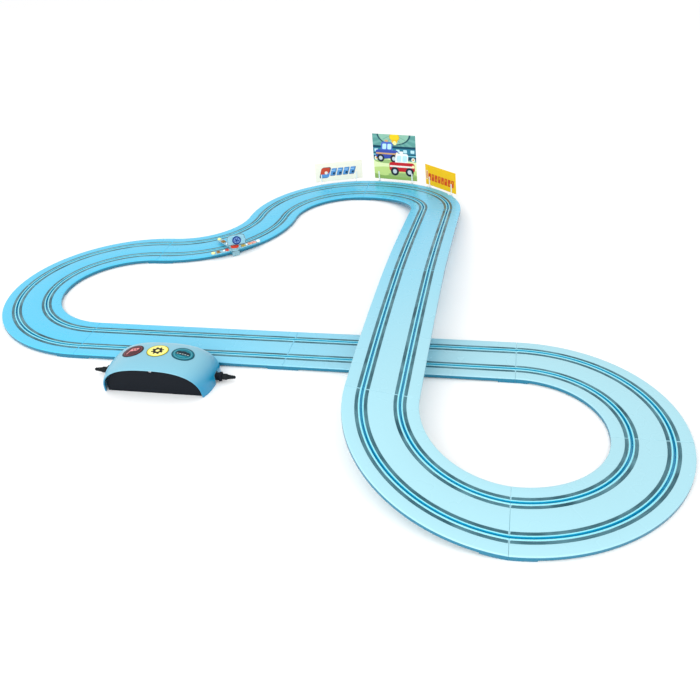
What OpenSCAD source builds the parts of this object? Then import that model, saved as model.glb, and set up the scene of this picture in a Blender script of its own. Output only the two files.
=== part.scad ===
// Two-lane slot car track set: twelve snap-together track pieces in a
// crossing layout, with a battery power box, a trackside spinner and
// three billboards on clips. Millimetres, +Z up. The origin is on the
// floor at the middle of the layout; the front straights run along X.

/* [Track layout] */
// Radius of every curve, measured at the middle of the track
radius = 171; // [160:1:190]
// Height of the track where the climbing curve meets the bridge
bridge_start_h = 48; // [44:1:60]
// Height of the track at the far end of the bridge straight
bridge_end_h = 56; // [50:1:66]
// Height of the track where the descent meets the back curve
descent_end_h = 22; // [16:1:30]
// Height of the track where the front loop starts to climb
loop_end_h = 6; // [4:0.5:8]

/* [Track section] */
// Width across both lanes
track_w = 100; // [96:1:110]
// Distance between the two slots
lane_gap = 50; // [46:1:54]
// Height of the deck above the floor
deck_h = 8; // [7.5:0.1:9]
// Thickness of the deck
deck_t = 2; // [1.5:0.1:2.2]
// Width of the guide slot
slot_w = 3.4; // [3:0.1:3.8]
// Depth of the guide slot below its ribs
slot_depth = 6.2; // [5.6:0.1:6.4]
// Width of the raised rib on each side of a slot
rib_w = 1.9; // [1.5:0.1:1.9]
// Height of the raised ribs
rib_h = 0.6; // [0.3:0.1:1]
// Width of one contact rail
rail_w = 4.1; // [3:0.1:4.1]
// Distance from a slot's middle to a contact rail's middle
rail_off = 6.1; // [6.1:0.1:6.6]

/* [Power box] */
// Height of the hood at its highest point
hood_h = 52.5; // [51:0.5:56]
// Greatest width of the hood
hood_w = 167; // [162:1:172]
// Depth of the hood from the track's edge to its front rim
hood_d = 82; // [82:1:88]
// Forward lean of the front rim's top
hood_lean = 11; // [8:0.5:12]
// Radius of the round stickers
sticker_r = 16.3; // [14:0.1:17]
// How far a plug can be pulled out is set by its pin
plug_pin_l = 16; // [12:1:18]

/* [Trackside pieces] */
// Distance between the two stakes of a billboard
stake_gap = 81; // [70:1:84]
// Length of the spinner's arms
arm_l = 64; // [55:1:70]
// Height of the spinner's arms above the floor
arm_h = 13; // [12:0.5:18]

/* [Hidden] */
$fn = 64;

sky = [0.36, 0.75, 0.89];
steel = [0.35, 0.47, 0.52];
black = [0.10, 0.12, 0.14];
white = [0.95, 0.96, 0.96];

// ---- Joints between the track pieces, in curve radii from the middle ----
J = [[-2, -1], [0, -1], [2, -1], [3, -2], [2, -3], [1, -2],
     [1, 0], [1, 2], [0, 3], [-1, 2], [-2, 1], [-3, 0]];
// Each piece: curve centre in radii (or its run for a straight), start angle,
// swept angle. A straight has a swept angle of 0 and its heading instead.
PIECE = [
    [[-2, -1], 0, 0], [[0, -1], 0, 0],
    [[2, -2], 90, -90], [[2, -2], 0, -90], [[2, -2], -90, -90],
    [[1, -2], 90, 0], [[1, 0], 90, 0],
    [[0, 2], 0, 90], [[0, 2], 90, 90], [[-2, 2], 0, -90],
    [[-2, 0], 90, 90], [[-2, 0], 180, 90]
];
straight_l = 2 * radius;
curve_l = PI / 2 * radius;
half_w = track_w / 2;

// Raised pieces: start height, end height, start slope, end slope, start
// bank and end bank in degrees. A bank is positive where the left side, which
// is the outer side of the front loop, is the higher one.
loop_bank = -asin(loop_end_h / half_w);
climb_bank = 8;
RISE = [
    [0, loop_end_h, loop_end_h / curve_l, loop_end_h / curve_l, 0, loop_bank],
    [loop_end_h, bridge_start_h, 0.10, 0.15, loop_bank, climb_bank],
    [bridge_start_h, bridge_end_h, 0.09, -0.02, climb_bank, 0],
    [bridge_end_h, descent_end_h, -0.05, -0.12, 0, 0],
    [descent_end_h, 0, -0.12, 0, 0, 0]
];
RISE_LOOP = 0;
RISE_CLIMB = 1;
RISE_BRIDGE = 2;
RISE_DESCENT = 3;
RISE_BACK = 4;

// ---- Track section: t runs across the track, z up from the floor ----
skirt_t = 2;
skirt_lift = 1.8;
edge_r = 2;
rail_t = 0.7;
rail_seat = 0.5;
rail_play = 0.15;
channel_t = 1.5;
slot_floor = deck_h + rib_h - slot_depth;
channel_floor = slot_floor - 1.2;
foot_l = 24;
foot_angle = foot_l / radius * 180 / PI;
rail_gap = 1;
rail_gap_angle = rail_gap / radius * 180 / PI;
tongue_l = 14;
tongue_root = 6;
tongue_w = 30;
tongue_t = 1.8;
tongue_gap = 0.25;
seam = 0.1;

lane_top = function(c) let (
        g0 = rail_off - rail_w / 2 - rail_play, g1 = rail_off + rail_w / 2 + rail_play,
        s = slot_w / 2, z0 = deck_h, zg = deck_h - rail_seat - rail_play / 2,
        zr = deck_h + rib_h, bevel = 0.4
    ) [
        [c - g1, z0], [c - g1, zg], [c - g0, zg], [c - g0, z0],
        [c - s - rib_w, z0], [c - s - rib_w + bevel, zr],
        [c - s, zr], [c - s, slot_floor], [c + s, slot_floor], [c + s, zr],
        [c + s + rib_w - bevel, zr], [c + s + rib_w, z0],
        [c + g0, z0], [c + g0, zg], [c + g1, zg], [c + g1, z0]
    ];
lane_under = function(c) let (
        k = slot_w / 2 + channel_t, zu = deck_h - deck_t
    ) [[c + k, zu], [c + k, channel_floor], [c - k, channel_floor], [c - k, zu]];
edge_arc = function(side) [
    for (a = [0:30:90]) let (b = side < 0 ? 180 - a : 90 - a)
        [side * (half_w - edge_r) + edge_r * cos(b), deck_h - edge_r + edge_r * sin(b)]
];
// The whole outline, clockwise from the left skirt's foot. bottom is the height
// at which the skirts end.
track_outline = function(bottom) concat(
    [[-half_w, bottom]], edge_arc(-1),
    lane_top(-lane_gap / 2), lane_top(lane_gap / 2),
    edge_arc(1), [[half_w, bottom], [half_w - skirt_t, bottom],
    [half_w - skirt_t, deck_h - deck_t]],
    lane_under(lane_gap / 2), lane_under(-lane_gap / 2),
    [[-half_w + skirt_t, deck_h - deck_t], [-half_w + skirt_t, bottom]]
);
RAIL_T = [
    for (lane = [-1, 1], side = [-1, 1]) lane * lane_gap / 2 + side * rail_off
];
rail_outline = function(c) [
    [c - rail_w / 2, deck_h - rail_seat], [c - rail_w / 2, deck_h - rail_seat + rail_t],
    [c + rail_w / 2, deck_h - rail_seat + rail_t], [c + rail_w / 2, deck_h - rail_seat]
];

// ---- Raised track: a section carried along a rising, banking centreline ----
ease = function(u, a, b) a + (b - a) * u;
// Height along a piece: a cubic through both end heights with both end slopes.
rise_height = function(r, l, u) let (u2 = u * u, u3 = u2 * u)
    r[0] * (2 * u3 - 3 * u2 + 1) + r[1] * (3 * u2 - 2 * u3)
    + l * r[2] * (u3 - 2 * u2 + u) + l * r[3] * (u3 - u2);
piece_l = function(p) p[2] == 0 ? straight_l : curve_l;
// Unit vector to the left of travel at u along a piece.
piece_left = function(p, u) p[2] == 0
    ? [-sin(p[1]), cos(p[1])]
    : let (a = p[1] + p[2] * u) -sign(p[2]) * [cos(a), sin(a)];
piece_mid = function(p, u) p[2] == 0
    ? radius * p[0] + u * straight_l * [cos(p[1]), sin(p[1])]
    : let (a = p[1] + p[2] * u) radius * (p[0] + [cos(a), sin(a)]);
// A section point q = [t, z] placed at u along piece p that rises by r.
place = function(p, r, u, q) let (
        m = piece_mid(p, u), n = piece_left(p, u),
        h = rise_height(r, piece_l(p), u), b = ease(u, r[4], r[5]),
        side = q[0] * cos(b) - q[1] * sin(b)
    ) [m[0] + n[0] * side, m[1] + n[1] * side, h + q[0] * sin(b) + q[1] * cos(b)];

// Skin of a closed solid from rings of equal length. ends lists the triangles
// that close a ring; without it, a ring is closed as one flat face.
module skin(rings, ends = []) {
    n = len(rings[0]);
    m = len(rings);
    points = [for (ring = rings, q = ring) q];
    sides = [
        for (i = [0:m - 2], j = [0:n - 1]) let (k = (j + 1) % n)
            each [[i * n + j, i * n + k, (i + 1) * n + k], [i * n + j, (i + 1) * n + k, (i + 1) * n + j]]
    ];
    last = (m - 1) * n;
    caps = len(ends) == 0
        ? [[for (j = [n - 1:-1:0]) j], [for (j = [0:n - 1]) last + j]]
        : concat([for (e = ends) [e[2], e[1], e[0]]], [for (e = ends) [last + e[0], last + e[1], last + e[2]]]);
    polyhedron(points, concat(sides, caps), convexity = 10);
}

// How the track outline's end face is cut into triangles: each row is a point
// of the underside with the first and last top points that it fans out to.
FANS = [
    [53, 0, 1], [52, 1, 7], [51, 7, 12], [50, 12, 13], [49, 13, 13], [48, 13, 23],
    [47, 23, 28], [46, 28, 29], [45, 29, 29], [44, 29, 37], [43, 37, 40], [42, 40, 41]
];
TRACK_END = [
    for (k = [0:len(FANS) - 1]) let (fan = FANS[k]) each concat(
        [for (i = [fan[1]:1:fan[2] - 1]) [fan[0], i, i + 1]],
        k < len(FANS) - 1 ? [[fan[0], fan[2], FANS[k + 1][0]]] : []
    )
];

raised_rings = function(p) p[2] == 0 ? 8 : 12;
// Stations along a raised piece, from a gap at its start to the same gap at its
// end: each is its place along the piece and where the skirts end there.
foot_step = 0.002;
stations = function(p, gap) let (
        l = piece_l(p), n = raised_rings(p), foot = foot_l / l,
        first = foot + foot_step, span = 1 - 2 * first
    ) concat(
        [[gap / l, 0], [foot, 0], [first, skirt_lift]],
        [for (k = [1:n - 1]) [first + k / n * span, skirt_lift]],
        [[1 - first, skirt_lift], [1 - foot, 0], [1 - gap / l, 0]]
    );

module raised_track(i, r) {
    p = PIECE[i];
    skin([for (s = stations(p, seam)) [for (q = track_outline(s[1])) place(p, r, s[0], q)]], TRACK_END);
}

module raised_rails(i, r) {
    p = PIECE[i];
    for (c = RAIL_T)
        skin([for (s = stations(p, rail_gap)) [for (q = rail_outline(c)) place(p, r, s[0], q)]]);
}

// Tongue at the start of a piece, which clips under the piece before it.
module tongue(i, h = 0, bank = 0, slope = 0) {
    p = PIECE[i];
    heading = p[2] == 0 ? p[1] : p[1] + sign(p[2]) * 90;
    zt = deck_h - deck_t - tongue_gap;
    translate([radius * J[i][0], radius * J[i][1], h])
        rotate([0, 0, heading]) rotate([bank, -atan(slope), 0]) {
            translate([-tongue_l, -tongue_w / 2, zt - tongue_t])
                cube([tongue_l + tongue_root, tongue_w, tongue_t]);
            translate([seam + 0.4, -tongue_w / 2, zt - tongue_t])
                cube([tongue_root - 0.4, tongue_w, tongue_t + 0.8]);
        }
}

// ---- Flat track pieces ----
module flat_straight(i) {
    translate([radius * J[i][0], radius * J[i][1], 0]) {
        translate([seam, 0, 0]) rotate([90, 0, 90])
            linear_extrude(straight_l - 2 * seam) polygon(track_outline(skirt_lift));
        for (x = [seam, straight_l - foot_l], side = [-1, 1])
            translate([x, side > 0 ? half_w - skirt_t : -half_w, 0])
                cube([foot_l - seam, skirt_t, skirt_lift + 1]);
    }
}

module flat_rails_straight(i) {
    translate([radius * J[i][0] + rail_gap, radius * J[i][1], 0]) rotate([90, 0, 90])
        linear_extrude(straight_l - 2 * rail_gap)
            for (c = RAIL_T) polygon(rail_outline(c));
}

// Turns children from a sector that starts at 0 degrees to where piece i lies,
// leaving from_start degrees free at its lower-angle end.
module on_arc(i, from_start) {
    p = PIECE[i];
    low = min(p[1], p[1] + p[2]);
    translate([radius * p[0][0], radius * p[0][1], 0]) rotate([0, 0, low + from_start]) children();
}

module flat_curve(i) {
    gap = seam / radius * 180 / PI;
    difference() {
        on_arc(i, gap) rotate_extrude(angle = 90 - 2 * gap, $fn = 180)
            translate([radius, 0]) polygon(track_outline(0));
        // skirts cut short between the feet
        on_arc(i, foot_angle) rotate_extrude(angle = 90 - 2 * foot_angle, $fn = 180)
            for (side = [-1, 1])
                translate([radius + (side > 0 ? half_w - skirt_t - 1 : -half_w - 1), -1])
                    square([skirt_t + 2, skirt_lift + 1]);
    }
}

module flat_rails_curve(i) {
    on_arc(i, rail_gap_angle) rotate_extrude(angle = 90 - 2 * rail_gap_angle, $fn = 180)
        for (c = RAIL_T) translate([radius, 0]) polygon(rail_outline(c));
}

// Notch under the power box, where its neck and wires pass the skirt
neck_w = 60;
neck_reach = 16;

module straight_power() color(sky) {
    difference() {
        flat_straight(0);
        translate([box_x - neck_w / 2 - 1, -radius - half_w - 1, -1])
            cube([neck_w + 2, skirt_t + 2, deck_h - deck_t + 1]);
    }
    tongue(0);
}
module straight_underpass() color(sky) { flat_straight(1); tongue(1); }
module curve_loop_a() color(sky) { flat_curve(2); tongue(2); }
module curve_loop_b() color(sky) { raised_track(3, RISE[RISE_LOOP]); tongue(3); }
module curve_climb() color(sky) {
    raised_track(4, RISE[RISE_CLIMB]);
    tongue(4, loop_end_h, loop_bank, loop_end_h / curve_l);
}
module straight_bridge() color(sky) {
    raised_track(5, RISE[RISE_BRIDGE]);
    tongue(5, bridge_start_h, climb_bank, 0.14);
}
module straight_descent() color(sky) {
    raised_track(6, RISE[RISE_DESCENT]);
    tongue(6, bridge_end_h, 0, -0.02);
}
module curve_back_a() color(sky) {
    raised_track(7, RISE[RISE_BACK]);
    tongue(7, descent_end_h, 0, -0.12);
}
module curve_back_b() color(sky) { flat_curve(8); tongue(8); }
module curve_s() color(sky) { flat_curve(9); tongue(9); }
module curve_left_a() color(sky) { flat_curve(10); tongue(10); }
module curve_left_b() color(sky) { flat_curve(11); tongue(11); }

module rails_power() color(steel) flat_rails_straight(0);
module rails_underpass() color(steel) flat_rails_straight(1);
module rails_loop_a() color(steel) flat_rails_curve(2);
module rails_loop_b() color(steel) raised_rails(3, RISE[RISE_LOOP]);
module rails_climb() color(steel) raised_rails(4, RISE[RISE_CLIMB]);
module rails_bridge() color(steel) raised_rails(5, RISE[RISE_BRIDGE]);
module rails_descent() color(steel) raised_rails(6, RISE[RISE_DESCENT]);
module rails_back_a() color(steel) raised_rails(7, RISE[RISE_BACK]);
module rails_back_b() color(steel) flat_rails_curve(8);
module rails_s() color(steel) flat_rails_curve(9);
module rails_left_a() color(steel) flat_rails_curve(10);
module rails_left_b() color(steel) flat_rails_curve(11);

// ---- Bridge pillars, one under each raised joint ----
pillar_base = 44;
pillar_post = 20;
pillar_hole = 16;
pillar_plate = 2;
saddle_gap = 0.4;

// A hollow square post on a foot plate, with a saddle plate under the slots'
// channels. h, bank and slope are the joint's height, bank and slope.
module pillar(i, h, bank, slope) {
    p = PIECE[i];
    heading = p[2] == 0 ? p[1] : p[1] + sign(p[2]) * 90;
    top = h + channel_floor - saddle_gap;
    translate([radius * J[i][0], radius * J[i][1], 0]) rotate([0, 0, heading]) {
        difference() {
            union() {
                translate([-pillar_base / 2, -pillar_base / 2, 0])
                    cube([pillar_base, pillar_base, pillar_plate]);
                translate([-pillar_post / 2, -pillar_post / 2, 0])
                    cube([pillar_post, pillar_post, top - pillar_plate - 1]);
            }
            translate([-pillar_hole / 2, -pillar_hole / 2, -1])
                cube([pillar_hole, pillar_hole, top - 2 * pillar_plate - 4]);
        }
        translate([0, 0, h]) rotate([bank, -atan(slope), 0])
            translate([-pillar_post / 2 + 1, -lane_gap / 2 - 4, channel_floor - saddle_gap - 2 * pillar_plate])
                cube([pillar_post - 2, lane_gap + 8, 2 * pillar_plate]);
    }
}
module pillar_climb() color(sky) pillar(5, bridge_start_h, climb_bank, 0.12);
module pillar_bridge() color(sky) pillar(6, bridge_end_h, 0, -0.035);
module pillar_descent() color(sky) pillar(7, descent_end_h, 0, -0.12);

// ---- Power box: x from its own middle, y from the track's edge ----
box_x = -radius - 1.7;
box_y = -radius - half_w;
hood_t = 2;
hood_n = 2.6;
hood_widest = -45;
hood_round = 72;
hood_crest = -63;
hood_back = -0.9;
hood_back_p = 4;
hood_front_drop = 4;
hood_steps = 9;
hood_turn = 28;

// Half width of the hood's shell, grown by d, at depth y
hood_a = function(y, d) (hood_w / 2) * (1 - pow(abs(y - hood_widest) / hood_round, 2.5)) ^ 0.4 + d;
// Depth and height of the hood's ridge at station s: 0 is the front rim, 1 the
// crest, 2 the back edge. From the crest back it is a superellipse.
hood_y = function(s, d) s <= 1
    ? -hood_d + s * (hood_d + hood_crest)
    : hood_crest + (hood_back + d - hood_crest) * sin((s - 1) * 90) ^ (2 / hood_back_p);
hood_z = function(s, d) s <= 1
    ? hood_h - hood_front_drop * (1 - s) ^ 2 + d
    : (hood_h + d) * cos((s - 1) * 90) ^ (2 / hood_back_p);
hood_ring = function(s, d) let (y = hood_y(s, d), a = hood_a(y, d), h = hood_z(s, d)) [
    for (k = [0:hood_turn]) let (
        w = 180 * k / hood_turn, c = cos(w), v = max(0, sin(w)),
        z = h * v ^ (2 / hood_n),
        lean = s <= 1 ? hood_lean * (1 - s) * z / hood_h : 0
    ) [a * sign(c) * abs(c) ^ (2 / hood_n), y - lean, z]
];
HOOD_S = concat([for (k = [0:4]) k / 4], [for (k = [1:hood_steps]) 1 + k / hood_steps]);
// Height of the hood's outer face, grown by d, above a point behind its crest
hood_top = function(x, y, d) let (
        u = max(0, (y - hood_crest) / (hood_back - hood_crest)),
        h = hood_h * (1 - u ^ hood_back_p) ^ (1 / hood_back_p)
    ) h * (1 - (abs(x) / hood_a(y, 0)) ^ hood_n) ^ (1 / hood_n) + d;

module in_box() translate([box_x, box_y, 0]) children();

// Closed shell between an outer grid of rings and an inner one.
module shell(outer, inner) {
    n = len(outer[0]);
    m = len(outer);
    half = m * n;
    grid = function(off, flip) [
        for (i = [0:m - 2], j = [0:n - 2]) let (
            a = off + i * n + j, b = a + 1, c = a + n + 1, d = a + n
        ) each flip ? [[a, c, b], [a, d, c]] : [[a, b, c], [a, c, d]]
    ];
    ends = [
        for (j = [0:n - 2]) let (a = j, b = j + 1) each [[a, half + b, b], [a, half + a, half + b]],
        for (j = [0:n - 2]) let (a = (m - 1) * n + j, b = a + 1)
            each [[a, b, half + b], [a, half + b, half + a]]
    ];
    edges = [
        for (i = [0:m - 2]) let (a = i * n, d = a + n) each [[a, d, half + d], [a, half + d, half + a]],
        for (i = [0:m - 2]) let (b = i * n + n - 1, c = b + n)
            each [[b, half + c, c], [b, half + b, half + c]]
    ];
    polyhedron(
        [for (ring = outer, q = ring) q, for (ring = inner, q = ring) q],
        concat(grid(0, false), grid(half, true), ends, edges), convexity = 8
    );
}

hinge_y = -7;
hinge_z = 14;
hinge_r = 1.5;
hinge_gap = 0.05;
knuckle_r = 3;
knuckle_l = 8;
KNUCKLES = [-44, 44];
plug_y = -39.2;
plug_z = 8.5;
notch_half = 10;
notch_top = 16;

module power_hood() color([0.55, 0.82, 0.92]) in_box() {
    difference() {
        shell([for (s = HOOD_S) hood_ring(s, 0)], [for (s = HOOD_S) hood_ring(s, -hood_t)]);
        translate([-hood_w / 2, hinge_y - 1, -1]) cube([hood_w, 10, hinge_z - 4]);
        for (x = KNUCKLES) translate([x - knuckle_l / 2 - 6, hinge_y - 1, -1])
            cube([knuckle_l + 12, 10, hinge_z + 2]);
        translate([-hood_w / 2 - 5, plug_y - notch_half, -1])
            cube([hood_w + 10, 2 * notch_half, notch_top + 1]);
    }
    for (x = KNUCKLES) translate([x - knuckle_l / 2, 0, 0]) difference() {
        union() {
            translate([0, hinge_y, hinge_z]) rotate([0, 90, 0]) cylinder(r = knuckle_r, h = knuckle_l);
            translate([0, hinge_y - 1.2, hinge_z]) cube([knuckle_l, 5.7, 11]);
        }
        translate([-1, hinge_y, hinge_z]) rotate([0, 90, 0])
            cylinder(r = hinge_r + hinge_gap, h = knuckle_l + 2);
    }
}

// Housing: floor, arched front wall, low side walls and the hinge ears
wall_t = 2;
floor_t = 2.4;
front_y = -hood_d + 3;
front_a = 72.5;
front_h = 44.8;
bay_x = 61;
bay_front = -69;
bay_back = -13;
bay_h = 20;
socket_r = 3.1;
ear_r = 2.6;
tab_w = 9;
tab_low = 33.7;
screw_r = 1.4;
screw_z = 38.7;

arch = [for (k = [0:36]) let (w = 5 * k, c = cos(w), v = max(0, sin(w)))
    [front_a * sign(c) * abs(c) ^ (2 / hood_n), front_h * v ^ (2 / hood_n)]];

module power_housing() color(black) in_box() {
    difference() {
        union() {
            translate([-front_a + 2, front_y + 1, 0]) cube([2 * front_a - 4, -front_y + bay_back + 1, floor_t]);
            translate([-bay_x, bay_back, 0]) cube([2 * bay_x, -bay_back - 1, floor_t]);
            translate([0, front_y + wall_t, 0]) rotate([90, 0, 0])
                linear_extrude(wall_t) polygon(arch);
            for (x = [-bay_x, bay_x - wall_t]) translate([x, bay_front, 0])
                cube([wall_t, bay_back - bay_front, bay_h]);
            for (y = [bay_front - wall_t, bay_back]) translate([-bay_x, y, 0])
                cube([2 * bay_x, wall_t, y < -50 ? bay_h : hinge_z - 5]);
        }
        // bores that the sockets pass through the bay's walls in
        for (side = [-1, 1]) translate([side * (bay_x - wall_t - 1), plug_y, plug_z])
            rotate([0, side * 90, 0]) cylinder(r = socket_r + 0.1, h = 8);
        // notch that the hood's latch hangs in
        translate([-tab_w / 2 - 0.5, front_y - 1, tab_low - 0.5]) cube([tab_w + 1, wall_t + 2, 20]);
    }
    for (x = [-bay_x + 1, -bay_x / 2, bay_x / 2 - 2, bay_x - 3]) translate([x, front_y + wall_t - 0.5, 0])
        cube([2, 8, 22]);
    // cheeks that the latch screw bites between
    for (side = [-1, 1]) translate([side > 0 ? screw_r + 0.05 : -screw_r - 2.05, front_y + 4.5, 0])
        cube([2, 6.5, screw_z + 2]);
    for (x = KNUCKLES, side = [-1, 1])
        translate([x + side * (knuckle_l / 2 + 2.2) - 1.8, 0, 0]) difference() {
            union() {
                translate([0, hinge_y, hinge_z]) rotate([0, 90, 0]) cylinder(r = ear_r, h = 3.6);
                translate([0, hinge_y - ear_r, 0]) cube([3.6, ear_r + 1, hinge_z]);
            }
            translate([-1, hinge_y, hinge_z]) rotate([0, 90, 0]) cylinder(r = hinge_r, h = 6);
        }
    // neck that clips the box under the track's skirt
    translate([-neck_w / 2, -2, 1.2]) cube([neck_w, neck_reach + 2, 1.2]);
    // socket blocks in the flanks
    for (side = [-1, 1]) difference() {
        translate([side > 0 ? bay_x - 0.5 : -bay_x - 0.5 - 4, plug_y - 8, 0])
            cube([5, 16, 17]);
        translate([side * (bay_x - 5), plug_y, plug_z]) rotate([0, side * 90, 0])
            cylinder(r = socket_r + 0.1, h = 14);
    }
}

module hood_hinge_pin() color(steel) in_box()
    translate([-52, hinge_y, hinge_z]) rotate([0, 90, 0]) cylinder(r = hinge_r, h = 104);

module hood_latch() color(black) in_box() difference() {
    translate([-tab_w / 2, front_y - 0.2, tab_low]) cube([tab_w, wall_t, 15.2]);
    translate([0, front_y - 2, screw_z]) rotate([-90, 0, 0]) cylinder(r = screw_r, h = wall_t + 4);
}
module latch_screw() color(steel) in_box() translate([0, front_y - 1.4, screw_z]) rotate([-90, 0, 0])
    difference() {
        union() {
            cylinder(r = 2.6, h = 1.2);
            cylinder(r = screw_r, h = 10);
        }
        for (a = [0, 90]) rotate([0, 0, a]) translate([-1.6, -0.3, -1]) cube([3.2, 0.6, 1.6]);
    }

// Four C cells lie in two rows of two
cell_r = 13.1;
cell_l = 50;
CELL_Y = [-27, -54.2];
module each_cell() for (y = CELL_Y, side = [-1, 1])
    translate([side * cell_l / 2, y, floor_t + cell_r + 0.3]) rotate([0, side * 90, 0]) children();
module battery_cells() color([0.75, 0.55, 0.2]) in_box() each_cell() {
    translate([0, 0, -cell_l / 2 + 0.2]) cylinder(r = cell_r, h = cell_l - 2.4);
    cylinder(r = 3.2, h = cell_l / 2);
}
spring_wire = 0.5;
spring_turns = 3;
spring_l = 7.4;
spring_sides = 6;
spring_rings = 30;
module coil(r0, r1) skin([
    for (k = [0:spring_rings]) let (
        u = k / spring_rings, a = 360 * spring_turns * u, r = r0 + (r1 - r0) * u
    ) [
        for (j = [0:spring_sides - 1]) let (b = -360 * j / spring_sides, q = r + spring_wire * cos(b))
            [q * cos(a), q * sin(a), spring_l * u + spring_wire * sin(b)]
    ]
]);
module contact_springs() color(steel) in_box() for (y = CELL_Y, side = [-1, 1])
    translate([side * (cell_l + 0.6), y, floor_t + cell_r + 0.3]) rotate([0, side * 90, 0]) coil(3.5, 6.5);
plate_low = 12;
module contact_plates() color(steel) in_box() for (y = CELL_Y, side = [-1, 1])
    translate([side > 0 ? bay_x - wall_t - 0.45 : -bay_x + wall_t + 0.05, y - 8, plate_low])
        cube([0.4, 16, bay_h - plate_low]);
// Round sockets in the flanks, each with a bore that the plug's pin runs in
pin_r = 1.7;
pin_gap = 0.05;
socket_in = cell_l + 0.4;
socket_l = 14.6;
module jack_sockets() color(black) in_box() for (side = [-1, 1])
    translate([side * socket_in, plug_y, plug_z]) rotate([0, side * 90, 0]) difference() {
        cylinder(r = socket_r, h = socket_l);
        translate([0, 0, 0.4]) cylinder(r = pin_r + pin_gap, h = socket_l);
    }
module wiring_board() color([0.1, 0.4, 0.2]) in_box() {
    translate([5, front_y + 4.8, floor_t + 0.2]) cube([22, 1.4, 18]);
    for (x = [9, 16, 23]) translate([x, front_y + 3.2, floor_t + 8])
        rotate([-90, 0, 0]) cylinder(r = 2.5, h = 1.6);
}

// Stickers follow the hood's face just above it
STICKER_X = [-38, 1.3, 40];
sticker_y = -46.8;
sticker_t = 0.4;
module sticker(i, paint) {
    rings = 4;
    turn = 24;
    layer = function(d) [
        for (k = [1:rings], j = [0:turn - 1]) let (
            r = sticker_r * k / rings, a = 360 * j / turn,
            x = STICKER_X[i] + r * cos(a), y = sticker_y + r * sin(a)
        ) [x, y, hood_top(x, y, d)]
    ];
    n = rings * turn;
    centre = function(d) [STICKER_X[i], sticker_y, hood_top(STICKER_X[i], sticker_y, d)];
    points = concat(layer(0.15), layer(0.15 + sticker_t), [centre(0.15), centre(0.15 + sticker_t)]);
    next = function(j) (j + 1) % turn;
    face = function(off, mid, up) concat(
        [for (j = [0:turn - 1]) up ? [mid, off + next(j), off + j] : [mid, off + j, off + next(j)]],
        [for (k = [0:rings - 2], j = [0:turn - 1]) let (
            a = off + k * turn + j, b = off + k * turn + next(j), c = b + turn, d = a + turn
        ) each up ? [[a, b, c], [a, c, d]] : [[a, c, b], [a, d, c]]]
    );
    rim = n - turn;
    wall = [for (j = [0:turn - 1]) let (a = rim + j, b = rim + next(j))
        each [[a, n + b, b], [a, n + a, n + b]]];
    color(paint) in_box()
        polyhedron(points, concat(face(0, 2 * n, false), face(n, 2 * n + 1, true), wall));
}
module sticker_left() sticker(0, [0.42, 0.08, 0.12]);
module sticker_middle() sticker(1, [0.95, 0.9, 0.4]);
module sticker_right() sticker(2, [0.08, 0.5, 0.58]);

// ---- Plugs: x outward from the hood's flank ----
plug_x = 68;
plug_body_l = 24;
plug_body_w = 9.5;
plug_collar_l = 4.5;
relief_l = 20;
module at_plug(side) in_box() translate([side * plug_x, plug_y, plug_z]) rotate([0, side * 90, 0]) children();
module plug_body(side) color(black) at_plug(side) {
    translate([-plug_body_w / 2, -plug_body_w / 2, 0])
        cube([plug_body_w, plug_body_w, plug_body_l]);
    translate([-plug_body_w / 2 - 1, -plug_body_w / 2 - 1, plug_body_l - plug_collar_l])
        cube([plug_body_w + 2, plug_body_w + 2, plug_collar_l]);
}
module plug_relief(side) color(black) at_plug(side) rotate_extrude($fn = 48)
    polygon([[0, plug_body_l], [3.6, plug_body_l], [3.2, plug_body_l + 8],
        [1.6, plug_body_l + relief_l], [0, plug_body_l + relief_l]]);
module plug_pin(side) color(steel) at_plug(side) translate([0, 0, -plug_pin_l])
    cylinder(r = pin_r, h = plug_pin_l);
module plug_body_left() plug_body(-1);
module plug_relief_left() plug_relief(-1);
module plug_pin_left() plug_pin(-1);
module plug_body_right() plug_body(1);
module plug_relief_right() plug_relief(1);
module plug_pin_right() plug_pin(1);

// ---- Billboards on the outer edge of the back curves ----
// Each: angle around the back curve's centre, width, height, bottom edge
BOARD = [[108.5, 108, 43, 12], [74.4, 104, 103, 12], [41, 112, 45, 10]];
card_t = 1;
card_plane = 223.4 - 171;
clip_w = 2.6;
stake_t = 1.6;
stake_h = 28;
clip_low = 1;
card_gap = 0.1;
back_centre = [0, 2];
board_r = radius + card_plane;
// Height of the track under a point x along board i
track_at = function(i, x) let (a = BOARD[i][0] - atan(x / board_r))
    a < 90 ? rise_height(RISE[RISE_BACK], curve_l, a / 90) : 0;
board_lift = function(i) (track_at(i, stake_gap / 2) + track_at(i, -stake_gap / 2)) / 2;
board_tilt = function(i) atan((track_at(i, stake_gap / 2) - track_at(i, -stake_gap / 2)) / stake_gap);
// Frame with x along the card, y outwards from the track, at board i.
module at_board(i) translate([radius * back_centre[0], radius * back_centre[1], board_lift(i)])
    rotate([0, 0, BOARD[i][0] - 90]) rotate([0, -board_tilt(i), 0]) children();

module board_clips(i) color(white) at_board(i) for (side = [-1, 1]) {
    x = side * stake_gap / 2;
    edge = sqrt((radius + half_w) ^ 2 - x ^ 2);
    back = board_r - card_t / 2 - card_gap;
    translate([x - clip_w / 2, 0, 0]) {
        // fork either side of the card, joined by a seat under it
        for (y = [back - stake_t, back + card_t + 2 * card_gap])
            translate([0, y, clip_low]) cube([clip_w, stake_t, stake_h]);
        translate([0, back - stake_t, clip_low])
            cube([clip_w, card_t + 2 * card_gap + 2 * stake_t, BOARD[i][3] - clip_low - card_gap]);
        // lip over the track's edge
        translate([0, edge - 4, deck_h + 0.15]) cube([clip_w, back - edge + 4, 1.2]);
    }
}

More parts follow.
